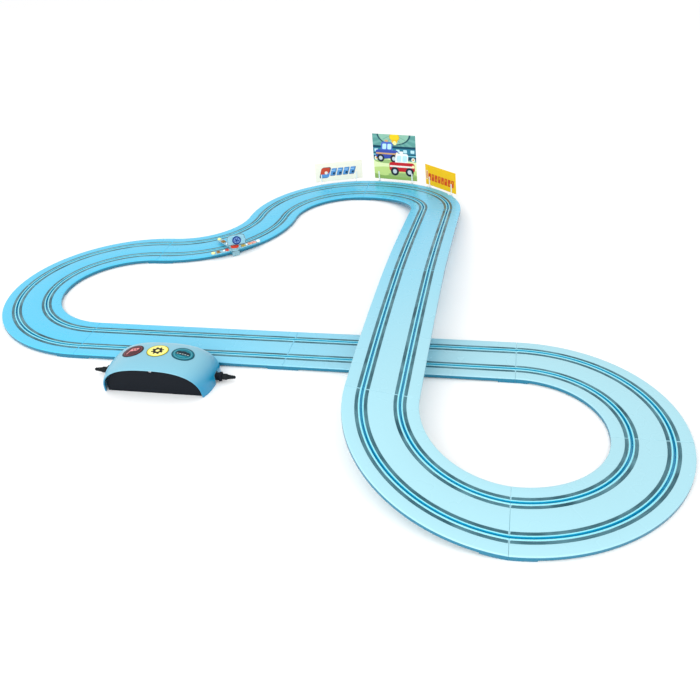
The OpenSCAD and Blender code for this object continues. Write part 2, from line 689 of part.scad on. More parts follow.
module board_card(i, paint) color(paint) at_board(i)
    translate([-BOARD[i][1] / 2, board_r - card_t / 2, BOARD[i][3]])
        cube([BOARD[i][1], card_t, BOARD[i][2]]);
module board_clips_left() board_clips(0);
module board_clips_middle() board_clips(1);
module board_clips_right() board_clips(2);
module board_card_left() board_card(0, [0.98, 0.95, 0.88]);
module board_card_middle() board_card(1, [0.37, 0.61, 0.59]);
module board_card_right() board_card(2, [0.97, 0.78, 0.03]);

// ---- Spinner on the near edge of the S curve ----
spinner_angle = -50.3;
spinner_r = radius + half_w + 3.6;
// Direction of each arm, and its share of the longest arm's length
ARM = [[138.8, 1], [215.6, 0.75], [45.4, 0.87]];
hub_r = 8;
axle_r = 1.5;
arm_w = 9;
arm_t = 1.6;
s_centre = [-2, 2];
module at_spinner() translate([
        radius * s_centre[0] + spinner_r * cos(spinner_angle),
        radius * s_centre[1] + spinner_r * sin(spinner_angle), 0
    ]) children();

module spinner_clip() color([0.75, 0.88, 0.92]) at_spinner() rotate([0, 0, spinner_angle]) {
    // outer pad beside the skirt, and a lip that lies on the deck's edge
    translate([-3.2, -7, 0]) cube([8, 14, deck_h + 1.4]);
    translate([-11, -7, deck_h + 0.1]) cube([9, 14, 1.3]);
}
module spinner_axle() color(steel) at_spinner() {
    translate([0, 0, deck_h + 1.4]) cylinder(r = 3.4, h = 1.6);
    translate([0, 0, deck_h + 1.4]) cylinder(r = axle_r, h = arm_h - deck_h + 4.4);
}
module spinner_rotor() color([0.55, 0.8, 0.88]) at_spinner() difference() {
    union() {
        translate([0, 0, deck_h + 3.1]) cylinder(r = hub_r, h = arm_h - deck_h + 1.2);
        for (arm = ARM) rotate([0, 0, arm[0]]) {
            end = arm_l * arm[1] - arm_w / 2;
            translate([0, -arm_w / 2, arm_h - arm_t / 2]) cube([end, arm_w, arm_t]);
            translate([end, 0, arm_h - arm_t / 2]) cylinder(r = arm_w / 2, h = arm_t);
        }
    }
    translate([0, 0, 0]) cylinder(r = axle_r + hinge_gap, h = 60);
}
// Raised shapes along each arm, as shares of its length
TOKEN_X = [[0.62], [0.26, 0.62], [0.26, 0.52, 0.68]];
module spinner_tokens() color([0.85, 0.6, 0.25]) at_spinner() for (k = [0:2]) rotate([0, 0, ARM[k][0]]) {
    reach = arm_l * ARM[k][1];
    top = arm_h + arm_t / 2 + 0.02;
    for (x = TOKEN_X[k]) translate([reach * x, -arm_w / 2 + 0.8, top]) cube([reach * 0.14, arm_w - 1.6, 1.8]);
    translate([reach - arm_w / 2, 0, top]) cylinder(r = 3.6, h = 2.2);
    translate([reach * 0.46, 0, top]) cylinder(r = 2, h = 1.8);
}
module spinner_cap() color([0.78, 0.22, 0.16]) at_spinner() {
    translate([0, 0, arm_h + 4.4]) difference() {
        cylinder(r = 8, h = 3.4);
        translate([0, 0, -1]) cylinder(r = axle_r + hinge_gap, h = 2.8);
    }
}
fin_w = 36;
fin_h = 21.7;
fin_t = 1.2;
fin_turn = 27.6;
fin_off = 4.5;
fin_round = 11;
module spinner_fin() color([0.75, 0.88, 0.95]) at_spinner() rotate([0, 0, fin_turn])
    translate([fin_off - fin_w / 2, fin_t / 2, arm_h + 7.95]) rotate([90, 0, 0]) linear_extrude(fin_t)
        union() {
            square([fin_w, fin_h - fin_round]);
            translate([fin_round, fin_h - fin_round]) circle(r = fin_round);
            translate([fin_w - fin_round, fin_h - fin_round]) circle(r = fin_round);
            translate([fin_round, 0]) square([fin_w - 2 * fin_round, fin_h]);
        }
module spinner_badge() color([0.1, 0.2, 0.5]) at_spinner() rotate([0, 0, fin_turn])
    translate([fin_off + 0.7, -fin_t / 2 - 0.02, arm_h + 17.3]) rotate([90, 0, 0]) cylinder(r = 8.4, h = 0.8);

straight_power();
straight_underpass();
curve_loop_a();
curve_loop_b();
curve_climb();
straight_bridge();
straight_descent();
curve_back_a();
curve_back_b();
curve_s();
curve_left_a();
curve_left_b();
rails_power();
rails_underpass();
rails_loop_a();
rails_loop_b();
rails_climb();
rails_bridge();
rails_descent();
rails_back_a();
rails_back_b();
rails_s();
rails_left_a();
rails_left_b();
pillar_climb();
pillar_bridge();
pillar_descent();
power_housing();
power_hood();
hood_hinge_pin();
hood_latch();
latch_screw();
battery_cells();
contact_springs();
contact_plates();
jack_sockets();
wiring_board();
sticker_left();
sticker_middle();
sticker_right();
plug_body_left();
plug_relief_left();
plug_pin_left();
plug_body_right();
plug_relief_right();
plug_pin_right();
board_clips_left();
board_clips_middle();
board_clips_right();
board_card_left();
board_card_middle();
board_card_right();
spinner_clip();
spinner_axle();
spinner_rotor();
spinner_tokens();
spinner_cap();
spinner_fin();
spinner_badge();
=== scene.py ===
"""Visual model of a two-lane slot car track set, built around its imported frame.

Sizes in the dataclasses are millimetres, as a maker's drawing gives them, and
become metres when a mesh is made. The origin is on the floor at the middle of
the layout, with the front straights along X.
"""

import logging
import math
from dataclasses import dataclass, field
from enum import Enum
from typing import Sequence

import bmesh
import bpy
import numpy as np
from mathutils import Matrix, Vector


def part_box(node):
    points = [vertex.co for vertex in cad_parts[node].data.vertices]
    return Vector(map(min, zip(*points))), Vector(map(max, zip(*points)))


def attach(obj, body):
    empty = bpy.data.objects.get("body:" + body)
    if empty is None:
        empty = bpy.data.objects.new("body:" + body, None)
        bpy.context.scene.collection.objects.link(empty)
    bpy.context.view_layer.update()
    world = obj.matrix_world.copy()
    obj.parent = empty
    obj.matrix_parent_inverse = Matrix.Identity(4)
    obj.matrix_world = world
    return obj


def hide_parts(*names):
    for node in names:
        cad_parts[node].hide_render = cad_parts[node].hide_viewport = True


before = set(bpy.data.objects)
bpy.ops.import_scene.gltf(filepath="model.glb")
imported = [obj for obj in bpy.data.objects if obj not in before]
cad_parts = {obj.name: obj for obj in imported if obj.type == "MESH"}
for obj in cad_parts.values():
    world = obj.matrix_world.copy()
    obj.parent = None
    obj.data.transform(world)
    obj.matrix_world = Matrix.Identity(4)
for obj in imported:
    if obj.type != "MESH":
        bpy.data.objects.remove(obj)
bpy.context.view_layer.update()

LOG = logging.getLogger("slot_car_track")
MM = 0.001
TINY = 1e-7
Array = np.ndarray
Colour = tuple[float, float, float]


# ---------------------------------------------------------------- mesh tools
def rounded(corners: Sequence[tuple[float, float, float]], steps: int = 4) -> Array:
    """Closed outline whose corners are turned into soft arcs.

    A corner of radius r is a quadratic curve: it starts and ends at the points
    where a circle of radius r would touch the two sides, and its control point
    is the corner itself.

    Args:
        corners: x, y and radius of each corner, in order round the outline.
        steps: Segments in each rounded corner.

    Returns:
        Points of the outline, one row each.
    """
    c = np.asarray(corners, float)
    here = c[:, :2]
    back, ahead = np.roll(here, 1, 0) - here, np.roll(here, -1, 0) - here
    lb, la = np.linalg.norm(back, axis=1), np.linalg.norm(ahead, axis=1)
    back, ahead = back / lb[:, None], ahead / la[:, None]
    half = np.arccos(np.clip((back * ahead).sum(1), -0.999999, 0.999999)) / 2
    reach = np.minimum(c[:, 2] / np.tan(half), 0.49 * np.minimum(lb, la))
    u = np.linspace(0, 1, steps + 1)[None, :, None]
    a, b = here + back * reach[:, None], here + ahead * reach[:, None]
    curve = (1 - u) ** 2 * a[:, None] + 2 * u * (1 - u) * here[:, None] + u**2 * b[:, None]
    flat = curve.reshape(-1, 2)
    keep = np.linalg.norm(flat - np.roll(flat, 1, 0), axis=1) > 1e-6
    return flat[keep]


def unit(v: Array) -> Array:
    """Vectors along the last axis, scaled to length one."""
    return v / np.maximum(np.linalg.norm(v, axis=-1, keepdims=True), 1e-12)


def ink(code: str) -> Colour:
    """Linear colour of a six-digit paint code such as F8C707."""
    parts = [int(code[i:i + 2], 16) / 255 for i in (0, 2, 4)]
    return tuple(v / 12.92 if v < 0.04045 else ((v + 0.055) / 1.055) ** 2.4 for v in parts)


class Skin:
    """Points and faces of one piece, gathered from parametric grids."""

    def __init__(self, blank: float = 1.0) -> None:
        """Starts an empty piece, whose unpainted points get the blank value.

        Args:
            blank: Value that unpainted points get.
        """
        self.blank = blank
        self.points: list[Array] = []
        self.uvs: list[Array] = []
        self.paints: list[Array] = []
        self.faces: list[list[int]] = []
        self.slots: list[int] = []
        self.count = 0

    def _add(self, points: Array, uv: Array | None, paint: Array | None) -> int:
        """Stores points, with their UV and paint, and returns their first index.

        Args:
            points: Points in metres, with 3 as their last size.
            uv: Optional UV places of the same shape.
            paint: Optional printed colours.

        Returns:
            Index of the first point.
        """
        flat = points.reshape(-1, 3)
        start, self.count = self.count, self.count + len(flat)
        self.points.append(flat)
        self.uvs.append(np.zeros((len(flat), 2)) if uv is None else uv.reshape(-1, 2))
        filled = np.full((len(flat), 3), self.blank)
        if paint is not None:
            filled[:] = np.broadcast_to(paint, points.shape).reshape(-1, 3)
        self.paints.append(filled)
        return start

    def grid(self, points: Array, slot: int = 0, round_cols: bool = False, round_rows: bool = False,
             uv: Array | None = None, paint: Array | None = None) -> int:
        """Adds a surface given as a grid of points.

        Args:
            points: Array of rows, columns and 3, in metres.
            slot: Material slot of its faces.
            round_cols: Whether the last column joins the first.
            round_rows: Whether the last row joins the first.
            uv: Optional grid of UV places.
            paint: Optional grid of printed colours.

        Returns:
            Index of the grid's first point.
        """
        rows, cols = points.shape[:2]
        start = self._add(points, uv, paint)
        index = start + np.arange(rows * cols).reshape(rows, cols)
        if round_cols:
            index = np.concatenate([index, index[:, :1]], 1)
        if round_rows:
            index = np.concatenate([index, index[:1]], 0)
        quads = np.stack([index[:-1, :-1], index[:-1, 1:], index[1:, 1:], index[1:, :-1]], -1).reshape(-1, 4)
        self.faces += quads.tolist()
        self.slots += [slot] * len(quads)
        return start

    def cap(self, first: int, count: int, slot: int = 0) -> None:
        """Closes a ring of count points that starts at index first, as one flat face."""
        self.faces.append(list(range(first, first + count)))
        self.slots.append(slot)

    def tube(self, rings: Array, slot: int = 0, uv: Array | None = None, paint: Array | None = None) -> None:
        """Adds a solid: rings of equal length, joined side by side and closed at both ends.

        Args:
            rings: Array of rings, points and 3, in metres.
            slot: Material slot.
            uv: Optional grid of UV places.
            paint: Optional grid of printed colours.
        """
        rows, cols = rings.shape[:2]
        start = self.grid(rings, slot, round_cols=True, uv=uv, paint=paint)
        self.cap(start, cols, slot)
        self.cap(start + (rows - 1) * cols, cols, slot)

    def lathe(self, profile: Sequence[tuple[float, float]], place: "Placement", turns: int = 48,
              slot: int = 0, paint: Colour | None = None, hollow: bool = False) -> None:
        """Adds a turned solid.

        A point is the profile's radius times (cos a, sin a), at the profile's
        height, with a going once round in equal steps.

        Args:
            profile: Radius and height of each point from one end to the other.
            place: Where the solid's own axes lie.
            turns: Points round the axis.
            slot: Material slot.
            paint: Optional printed colour.
            hollow: Whether the profile is a closed loop round a bore, so the ends need no lids.
        """
        r, z = np.asarray(profile, float).T
        a = np.linspace(0, 2 * np.pi, turns, endpoint=False)
        across = (r[:, None] * np.cos(a), r[:, None] * np.sin(a))
        rings = np.stack([*across, np.repeat(z[:, None], turns, 1)], -1)
        if hollow:
            self.grid(place.put(rings), slot, round_cols=True, round_rows=True, paint=paint)
        else:
            self.tube(place.put(rings), slot, paint=paint)

    def slab(self, outline: Array, low: float, high: float, place: "Placement", slot: int = 0,
             bevel: float = 0.3, paint: Colour | None = None) -> None:
        """Adds a flat plate with softened rims.

        Each ring is the outline, pulled in towards its own inside by the bevel
        at the two faces, which gives a narrow sloped rim.

        Args:
            outline: Closed outline in the plate's plane.
            low: Height of the lower face.
            high: Height of the upper face.
            place: Where the plate's own axes lie.
            slot: Material slot.
            bevel: Width of the softened rim.
            paint: Optional printed colour.
        """
        ahead, back = np.roll(outline, -1, 0), np.roll(outline, 1, 0)
        along = unit(ahead - back)
        normal = np.stack([along[:, 1], -along[:, 0]], -1)
        area = np.sum(outline[:, 0] * ahead[:, 1] - ahead[:, 0] * outline[:, 1])
        normal = normal * np.sign(area)
        rim = [(bevel, low), (0.3 * bevel, low + 0.3 * bevel), (0, low + bevel),
               (0, high - bevel), (0.3 * bevel, high - 0.3 * bevel), (bevel, high)]
        rings = np.stack([
            np.concatenate([outline - inset * normal, np.full((len(outline), 1), z)], 1) for inset, z in rim
        ])
        self.tube(place.put(rings), slot, paint=paint)

    def wire(self, path: Array, radius: float, place: "Placement", slot: int = 0,
             sides: int = 8) -> None:
        """Adds a closed wire of round section.

        A ring stands at each point of the path, in the plane of the path's
        outward normal and of the axis square to the path's plane.

        Args:
            path: Closed path in its own plane, as rows of x and y.
            radius: Radius of the wire.
            place: Where the path's own axes lie.
            slot: Material slot.
            sides: Points round the wire.
        """
        along = unit(np.roll(path, -1, 0) - np.roll(path, 1, 0))
        out = np.stack([along[:, 1], -along[:, 0]], -1)
        a = np.linspace(0, 2 * np.pi, sides, endpoint=False)
        flat = path[:, None] + radius * np.cos(a)[None, :, None] * out[:, None]
        up = np.broadcast_to(radius * np.sin(a), flat.shape[:2])
        rings = np.concatenate([flat, up[..., None]], -1)
        self.grid(place.put(rings), slot, round_cols=True, round_rows=True)

    def box(self, low: Sequence[float], high: Sequence[float], place: "Placement", slot: int = 0,
            bevel: float = 0.3, corner: float = 0.3, paint: Colour | None = None) -> None:
        """Adds a block from its low to its high corner, with rounded edges.

        Args:
            low: Corner with the lowest x, y and z.
            high: The opposite corner.
            place: Where the block's own axes lie.
            slot: Material slot.
            bevel: Width of the softened rims of its lower and upper face.
            corner: Radius of its upright edges.
            paint: Optional printed colour.
        """
        (x0, y0, z0), (x1, y1, z1) = low, high
        outline = rounded([(x0, y0, corner), (x1, y0, corner), (x1, y1, corner), (x0, y1, corner)], 3)
        self.slab(outline, z0, z1, place, slot, bevel, paint)

    def build(self, name: str, materials: Sequence[bpy.types.Material], body: str, slot: str,
              replaces: Sequence[str] = (), sharp: float = 38.0) -> bpy.types.Object:
        """Makes the piece, gives it its materials and lets it ride on its body.

        Args:
            name: Name of the piece.
            materials: Materials in slot order.
            body: Body that the piece moves with.
            slot: Material slot of the record that its finish follows; not used.
            replaces: Nodes that it stands for.
            sharp: Angle in degrees above which an edge is shaded sharp.

        Returns:
            The finished object.
        """
        mesh = bpy.data.meshes.new(name)
        mesh.from_pydata(np.concatenate(self.points).tolist(), [], self.faces)
        mesh.polygons.foreach_set("material_index", np.asarray(self.slots, np.int32))
        corner = np.zeros(len(mesh.loops), np.int32)
        mesh.loops.foreach_get("vertex_index", corner)
        layer = mesh.uv_layers.new(name="UVMap")
        layer.data.foreach_set("uv", np.concatenate(self.uvs)[corner].astype(np.float32).ravel())
        paints = np.concatenate(self.paints)
        if np.any(paints != self.blank):
            attribute = mesh.attributes.new("paint", "FLOAT_COLOR", "POINT")
            filled = np.concatenate([paints, np.ones((len(paints), 1))], 1)
            attribute.data.foreach_set("color", filled.astype(np.float32).ravel())
        work = bmesh.new()
        work.from_mesh(mesh)
        bmesh.ops.remove_doubles(work, verts=work.verts, dist=TINY)
        bmesh.ops.recalc_face_normals(work, faces=work.faces)
        work.to_mesh(mesh)
        work.free()
        mesh.shade_smooth()
        mesh.set_sharp_from_angle(angle=math.radians(sharp))
        for material in materials:
            mesh.materials.append(material)
        piece = bpy.data.objects.new(name, mesh)
        bpy.context.scene.collection.objects.link(piece)
        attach(piece, body)
        if replaces:
            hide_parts(*replaces)
        LOG.info("%s: %d faces on %s", name, len(mesh.polygons), body)
        return piece


@dataclass(frozen=True)
class Placement:
    """Where a piece's own axes lie: an origin in millimetres and three unit axes."""

    origin: tuple[float, float, float] = (0.0, 0.0, 0.0)
    turn: Matrix = field(default_factory=lambda: Matrix.Identity(3))

    def put(self, points: Array) -> Array:
        """Points given in the piece's own millimetres, in metres in the frame."""
        return (points @ np.array(self.turn).T + np.array(self.origin)) * MM

    def within(self, origin: Sequence[float], turn: Matrix | None = None) -> "Placement":
        """A placement given inside this one."""
        moved = np.array(self.turn) @ np.array(origin, float) + np.array(self.origin)
        return Placement(tuple(moved), self.turn @ (turn or Matrix.Identity(3)))


def turned(degrees: float, axis: str = "Z") -> Matrix:
    """Rotation matrix about one of the axes."""
    return Matrix.Rotation(math.radians(degrees), 3, axis)


def bevelled_copy(node: str, name: str, material: bpy.types.Material, body: str,
                  width: float = 0.3) -> bpy.types.Object:
    """A moulding made from a node's own solid, with its flat faces joined and its edges rounded.

    Args:
        node: Node that gives the shape and is replaced.
        name: Name of the new piece.
        material: Its material.
        body: Body that it rides on.
        width: Width of the rounding, in millimetres.

    Returns:
        The finished object.
    """
    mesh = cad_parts[node].data.copy()
    mesh.materials.clear()
    mesh.materials.append(material)
    work = bmesh.new()
    work.from_mesh(mesh)
    bmesh.ops.remove_doubles(work, verts=work.verts, dist=1e-6)
    bmesh.ops.dissolve_limit(work, angle_limit=math.radians(1), verts=work.verts, edges=work.edges)
    work.to_mesh(mesh)
    work.free()
    mesh.shade_smooth()
    mesh.set_sharp_from_angle(angle=math.radians(38))
    piece = bpy.data.objects.new(name, mesh)
    bpy.context.scene.collection.objects.link(piece)
    bevel = piece.modifiers.new("edges", "BEVEL")
    bevel.width = width * MM
    bevel.segments = 2
    bevel.limit_method = "ANGLE"
    bevel.angle_limit = math.radians(50)
    bevel.harden_normals = True
    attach(piece, body)
    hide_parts(node)
    LOG.info("%s: rounded from its solid, on %s", name, body)
    return piece


# ------------------------------------------------------------------- finishes
class Finish(Enum):
    """Named surfaces of the set, each with the name of its material."""

    SKY = "sky_plastic"
    HOOD = "hood_plastic"
    BLACK = "black_plastic"
    RUBBER = "soft_rubber"
    CLEAR = "tinted_plastic"
    STAKE = "frosted_plastic"
    RED = "red_plastic"
    CIRCUIT = "circuit_board"
    STRIP = "contact_strip"
    STEEL = "plated_steel"
    CARD = "varnished_card"
    FILM = "sticker_film"
    PAINT = "painted_plastic"


def socket_value(node: bpy.types.Node, **values: object) -> None:
    """Sets named inputs of a node; underscores in a name stand for spaces."""
    for name, value in values.items():
        if isinstance(value, tuple) and len(value) == 3 and "Color" in name:
            value = (*value, 1.0)
        node.inputs[name.replace("_", " ")].default_value = value


class Shader:
    """One node material and short calls that add and join its nodes."""

    def __init__(self, name: str) -> None:
        """Starts a material with an output and a Principled surface.

        Args:
            name: Name of the material.
        """
        self.material = bpy.data.materials.new(name)
        self.material.use_nodes = True
        self.tree = self.material.node_tree
        self.surface = next(n for n in self.tree.nodes if n.type == "BSDF_PRINCIPLED")

    def node(self, kind: str, **values: object) -> bpy.types.Node:
        """Adds a node and sets its inputs.

        Args:
            kind: Blender's name for the type of node.
            values: First values of its inputs.

        Returns:
            The new node.
        """
        made = self.tree.nodes.new(kind)
        socket_value(made, **values)
        return made

    def group(self, tree: bpy.types.NodeTree, **values: object) -> bpy.types.Node:
        """Places a shared node group in the material.

        Args:
            tree: The shared group.
            values: First values of its inputs.

        Returns:
            The new node.
        """
        made = self.tree.nodes.new("ShaderNodeGroup")
        made.node_tree = tree
        socket_value(made, **values)
        return made

    def join(self, source: bpy.types.NodeSocket, target: bpy.types.NodeSocket) -> None:
        """Links two sockets."""
        self.tree.links.new(source, target)

    def set(self, **values: object) -> None:
        """Sets inputs of the Principled surface."""
        socket_value(self.surface, **values)

    def bump(self, height: bpy.types.NodeSocket, strength: float, distance: float) -> None:
        """Lets a height change the surface's normal.

        Args:
            height: Socket that gives the height.
            strength: Strength of the bump.
            distance: Height of the bump, in metres.
        """
        made = self.node("ShaderNodeBump", Strength=strength, Distance=distance)
        self.join(height, made.inputs["Height"])
        self.join(made.outputs["Normal"], self.surface.inputs["Normal"])


def new_group(name: str, inputs: dict[str, tuple[str, object]],
              outputs: dict[str, str]) -> bpy.types.NodeTree:
    """Makes an empty shader node group with named inputs and outputs.

    Args:
        name: Name of the group.
        inputs: Socket type and first value for each input's name.
        outputs: Socket type for each output's name.

    Returns:
        The group's tree, with its input and output nodes in place.
    """
    tree = bpy.data.node_groups.new(name, "ShaderNodeTree")
    for title, (kind, value) in inputs.items():
        made = tree.interface.new_socket(title, in_out="INPUT", socket_type=kind)
        if value is not None:
            made.default_value = value
    for title, kind in outputs.items():
        tree.interface.new_socket(title, in_out="OUTPUT", socket_type=kind)
    tree.nodes.new("NodeGroupInput")
    tree.nodes.new("NodeGroupOutput")
    return tree


def moulded_grain() -> bpy.types.NodeTree:
    """Group for moulded plastic: a fine grain with slow patches of gloss and tint.

    Colour is the base colour, mixed towards the tint by a slow noise. Roughness
    is the base roughness plus a slow noise times its spread. Height is a fine
    noise, for a bump.

    Returns:
        The group's tree.
    """
    tree = new_group("moulded_grain", {
        "Vector": ("NodeSocketVector", None), "Base": ("NodeSocketColor", (0.5, 0.5, 0.5, 1)),
        "Tint": ("NodeSocketColor", (0.5, 0.5, 0.5, 1)), "Patch Scale": ("NodeSocketFloat", 14.0),
        "Grain Scale": ("NodeSocketFloat", 900.0), "Roughness": ("NodeSocketFloat", 0.3),
        "Spread": ("NodeSocketFloat", 0.08)},
        {"Color": "NodeSocketColor", "Roughness": "NodeSocketFloat", "Height": "NodeSocketFloat"})
    made, link = tree.nodes.new, tree.links.new
    source, sink = tree.nodes["Group Input"], tree.nodes["Group Output"]
    patch, grain = made("ShaderNodeTexNoise"), made("ShaderNodeTexNoise")
    patch.inputs["Detail"].default_value = 3.0
    grain.inputs["Detail"].default_value = 2.0
    for noise, scale in ((patch, "Patch Scale"), (grain, "Grain Scale")):
        link(source.outputs["Vector"], noise.inputs["Vector"])
        link(source.outputs[scale], noise.inputs["Scale"])
    mix = made("ShaderNodeMix")
    mix.data_type = "RGBA"
    link(patch.outputs["Fac"], mix.inputs["Factor"])
    link(source.outputs["Base"], mix.inputs[6])
    link(source.outputs["Tint"], mix.inputs[7])
    link(mix.outputs[2], sink.inputs["Color"])
    spread, total = made("ShaderNodeMath"), made("ShaderNodeMath")
    spread.operation, total.operation = "MULTIPLY", "ADD"
    link(patch.outputs["Fac"], spread.inputs[0])
    link(source.outputs["Spread"], spread.inputs[1])
    link(spread.outputs[0], total.inputs[0])
    link(source.outputs["Roughness"], total.inputs[1])
    link(total.outputs[0], sink.inputs["Roughness"])
    link(grain.outputs["Fac"], sink.inputs["Height"])
    return tree


def drawn_streaks() -> bpy.types.NodeTree:
    """Group for drawn metal strip: streaks along U, and patches where a brush has rubbed.

    The UV place is stretched so that a noise becomes long streaks. Color mixes
    the dark and the bright metal by streaks times patches, and Roughness falls
    where the metal is bright.

    Returns:
        The group's tree.
    """
    tree = new_group("drawn_streaks", {
        "UV": ("NodeSocketVector", None), "Dark": ("NodeSocketColor", (0.1, 0.1, 0.1, 1)),
        "Bright": ("NodeSocketColor", (0.6, 0.6, 0.6, 1)), "Along": ("NodeSocketFloat", 60.0),
        "Across": ("NodeSocketFloat", 2600.0), "Roughness": ("NodeSocketFloat", 0.4)},
        {"Color": "NodeSocketColor", "Roughness": "NodeSocketFloat", "Height": "NodeSocketFloat"})
    made, link = tree.nodes.new, tree.links.new
    source, sink = tree.nodes["Group Input"], tree.nodes["Group Output"]
    stretch = made("ShaderNodeCombineXYZ")
    link(source.outputs["Along"], stretch.inputs[0])
    link(source.outputs["Across"], stretch.inputs[1])
    scaled = made("ShaderNodeVectorMath")
    scaled.operation = "MULTIPLY"
    link(source.outputs["UV"], scaled.inputs[0])
    link(stretch.outputs[0], scaled.inputs[1])
    streak, rub = made("ShaderNodeTexNoise"), made("ShaderNodeTexNoise")
    socket_value(streak, Scale=1.0, Detail=4.0)
    socket_value(rub, Scale=24.0, Detail=2.0)
    link(scaled.outputs[0], streak.inputs["Vector"])
    link(source.outputs["UV"], rub.inputs["Vector"])
    both = made("ShaderNodeMath")
    both.operation = "MULTIPLY"
    link(streak.outputs["Fac"], both.inputs[0])
    link(rub.outputs["Fac"], both.inputs[1])
    ramp = made("ShaderNodeMapRange")
    socket_value(ramp, **{"From Min": 0.16, "From Max": 0.42, "To Min": 0.0, "To Max": 1.0})
    link(both.outputs[0], ramp.inputs["Value"])
    mix = made("ShaderNodeMix")
    mix.data_type = "RGBA"
    link(ramp.outputs["Result"], mix.inputs["Factor"])
    link(source.outputs["Dark"], mix.inputs[6])
    link(source.outputs["Bright"], mix.inputs[7])
    link(mix.outputs[2], sink.inputs["Color"])
    shine, rough = made("ShaderNodeMath"), made("ShaderNodeMath")
    shine.operation, rough.operation = "MULTIPLY", "SUBTRACT"
    shine.inputs[1].default_value = 0.16
    link(ramp.outputs["Result"], shine.inputs[0])
    link(source.outputs["Roughness"], rough.inputs[0])
    link(shine.outputs[0], rough.inputs[1])
    link(rough.outputs[0], sink.inputs["Roughness"])
    link(streak.outputs["Fac"], sink.inputs["Height"])
    return tree


@dataclass(frozen=True)
class Plastic:
    """A moulded plastic: colour, a second tint, gloss and grain."""

    colour: Colour
    tint: Colour
    roughness: float = 0.3
    spread: float = 0.06
    bump: float = 0.06
    transmission: float = 0.0
    specular: float = 0.5

    def make(self, name: str, grain: bpy.types.NodeTree) -> bpy.types.Material:
        """Builds the material.

        Args:
            name: Name of the material.
            grain: The moulded grain group.

        Returns:
            The node material.
        """
        shader = Shader(name)
        place = shader.node("ShaderNodeTexCoord")
        mould = shader.group(grain, Roughness=self.roughness, Spread=self.spread)
        mould.inputs["Base"].default_value = (*self.colour, 1)
        mould.inputs["Tint"].default_value = (*self.tint, 1)
        shader.join(place.outputs["Object"], mould.inputs["Vector"])
        shader.join(mould.outputs["Color"], shader.surface.inputs["Base Color"])
        shader.join(mould.outputs["Roughness"], shader.surface.inputs["Roughness"])
        shader.bump(mould.outputs["Height"], self.bump, 0.0002)
        shader.set(Transmission_Weight=self.transmission, Specular_IOR_Level=self.specular)
        return shader.material


@dataclass(frozen=True)
class SheenRampPlastic:
    """The track's plastic: paler from the back of the layout to the front loop, a painted sheen that stands
    in for the studio's reflection.
    """

    # deep: colour at the back of the layout; pale: colour at the front loop, paler by a painted sheen
    # (painted reflection)
    deep: Colour = (0.06, 0.50, 0.75)
    pale: Colour = (0.33, 0.60, 0.68)
    # slot: painted shade in the slot recess
    slot: Colour = (0.008, 0.42, 0.64)
    # skirt: painted shade on the side walls
    skirt: Colour = (0.001, 0.155, 0.26)
    # bright: painted highlight on the ribs beside the slots
    bright: Colour = (0.23, 0.68, 0.78)
    roughness: float = 0.24

    def blend(self, shader: Shader, mask: bpy.types.NodeSocket, low: bpy.types.NodeSocket | Colour,
              high: Colour) -> bpy.types.NodeSocket:
        """Adds a mix of two colours by a mask.

        Args:
            shader: The material's shader.
            mask: Mask, 0 for the low colour and 1 for the high one.
            low: A colour or a socket that gives it.
            high: The other colour.

        Returns:
            The mixed colour's socket.
        """
        mix = shader.node("ShaderNodeMix")
        mix.data_type = "RGBA"
        if isinstance(low, tuple):
            mix.inputs[6].default_value = (*low, 1)
        else:
            shader.join(low, mix.inputs[6])
        mix.inputs[7].default_value = (*high, 1)
        shader.join(mask, mix.inputs["Factor"])
        return mix.outputs[2]

    def make(self, name: str, grain: bpy.types.NodeTree) -> bpy.types.Material:
        """Builds the material.

        A smooth step along a slanted line mixes the deep colour into the pale one, a painted sheen towards
        the front loop.
        The paint attribute's red part gives the slots a painted shade, its blue part gives the skirts' side
        walls a darker painted shade, and its green part gives the ribs a painted highlight.

        Args:
            name: Name of the material.
            grain: The moulded grain group.

        Returns:
            The node material.
        """
        shader = Shader(name)
        place = shader.node("ShaderNodeTexCoord")
        turned_place = shader.node("ShaderNodeMapping")
        turned_place.inputs["Rotation"].default_value = (0, 0, math.radians(38))
        shader.join(place.outputs["Object"], turned_place.inputs["Vector"])
        parts = shader.node("ShaderNodeSeparateXYZ")
        shader.join(turned_place.outputs[0], parts.inputs[0])
        # painted sheen: smooth step along a slanted line, from the deep colour at the back to the pale one
        # at the front loop
        step = shader.node("ShaderNodeMapRange", **{"From Min": -0.22, "From Max": 0.42})
        step.interpolation_type = "SMOOTHSTEP"
        shader.join(parts.outputs["X"], step.inputs["Value"])
        masks = shader.node("ShaderNodeAttribute")
        masks.attribute_name = "paint"
        split = shader.node("ShaderNodeSeparateColor")
        shader.join(masks.outputs["Color"], split.inputs["Color"])
        colour = self.blend(shader, step.outputs["Result"], self.deep, self.pale)
        colour = self.blend(shader, split.outputs["Green"], colour, self.bright)
        colour = self.blend(shader, split.outputs["Red"], colour, self.slot)
        colour = self.blend(shader, split.outputs["Blue"], colour, self.skirt)
        mould = shader.group(grain, Roughness=self.roughness, Spread=0.07)
        shader.join(colour, mould.inputs["Base"])
        shader.join(colour, mould.inputs["Tint"])
        shader.join(place.outputs["Object"], mould.inputs["Vector"])
        shader.join(mould.outputs["Color"], shader.surface.inputs["Base Color"])
        shader.join(mould.outputs["Roughness"], shader.surface.inputs["Roughness"])
        shader.bump(mould.outputs["Height"], 0.02, 0.0002)
        return shader.material


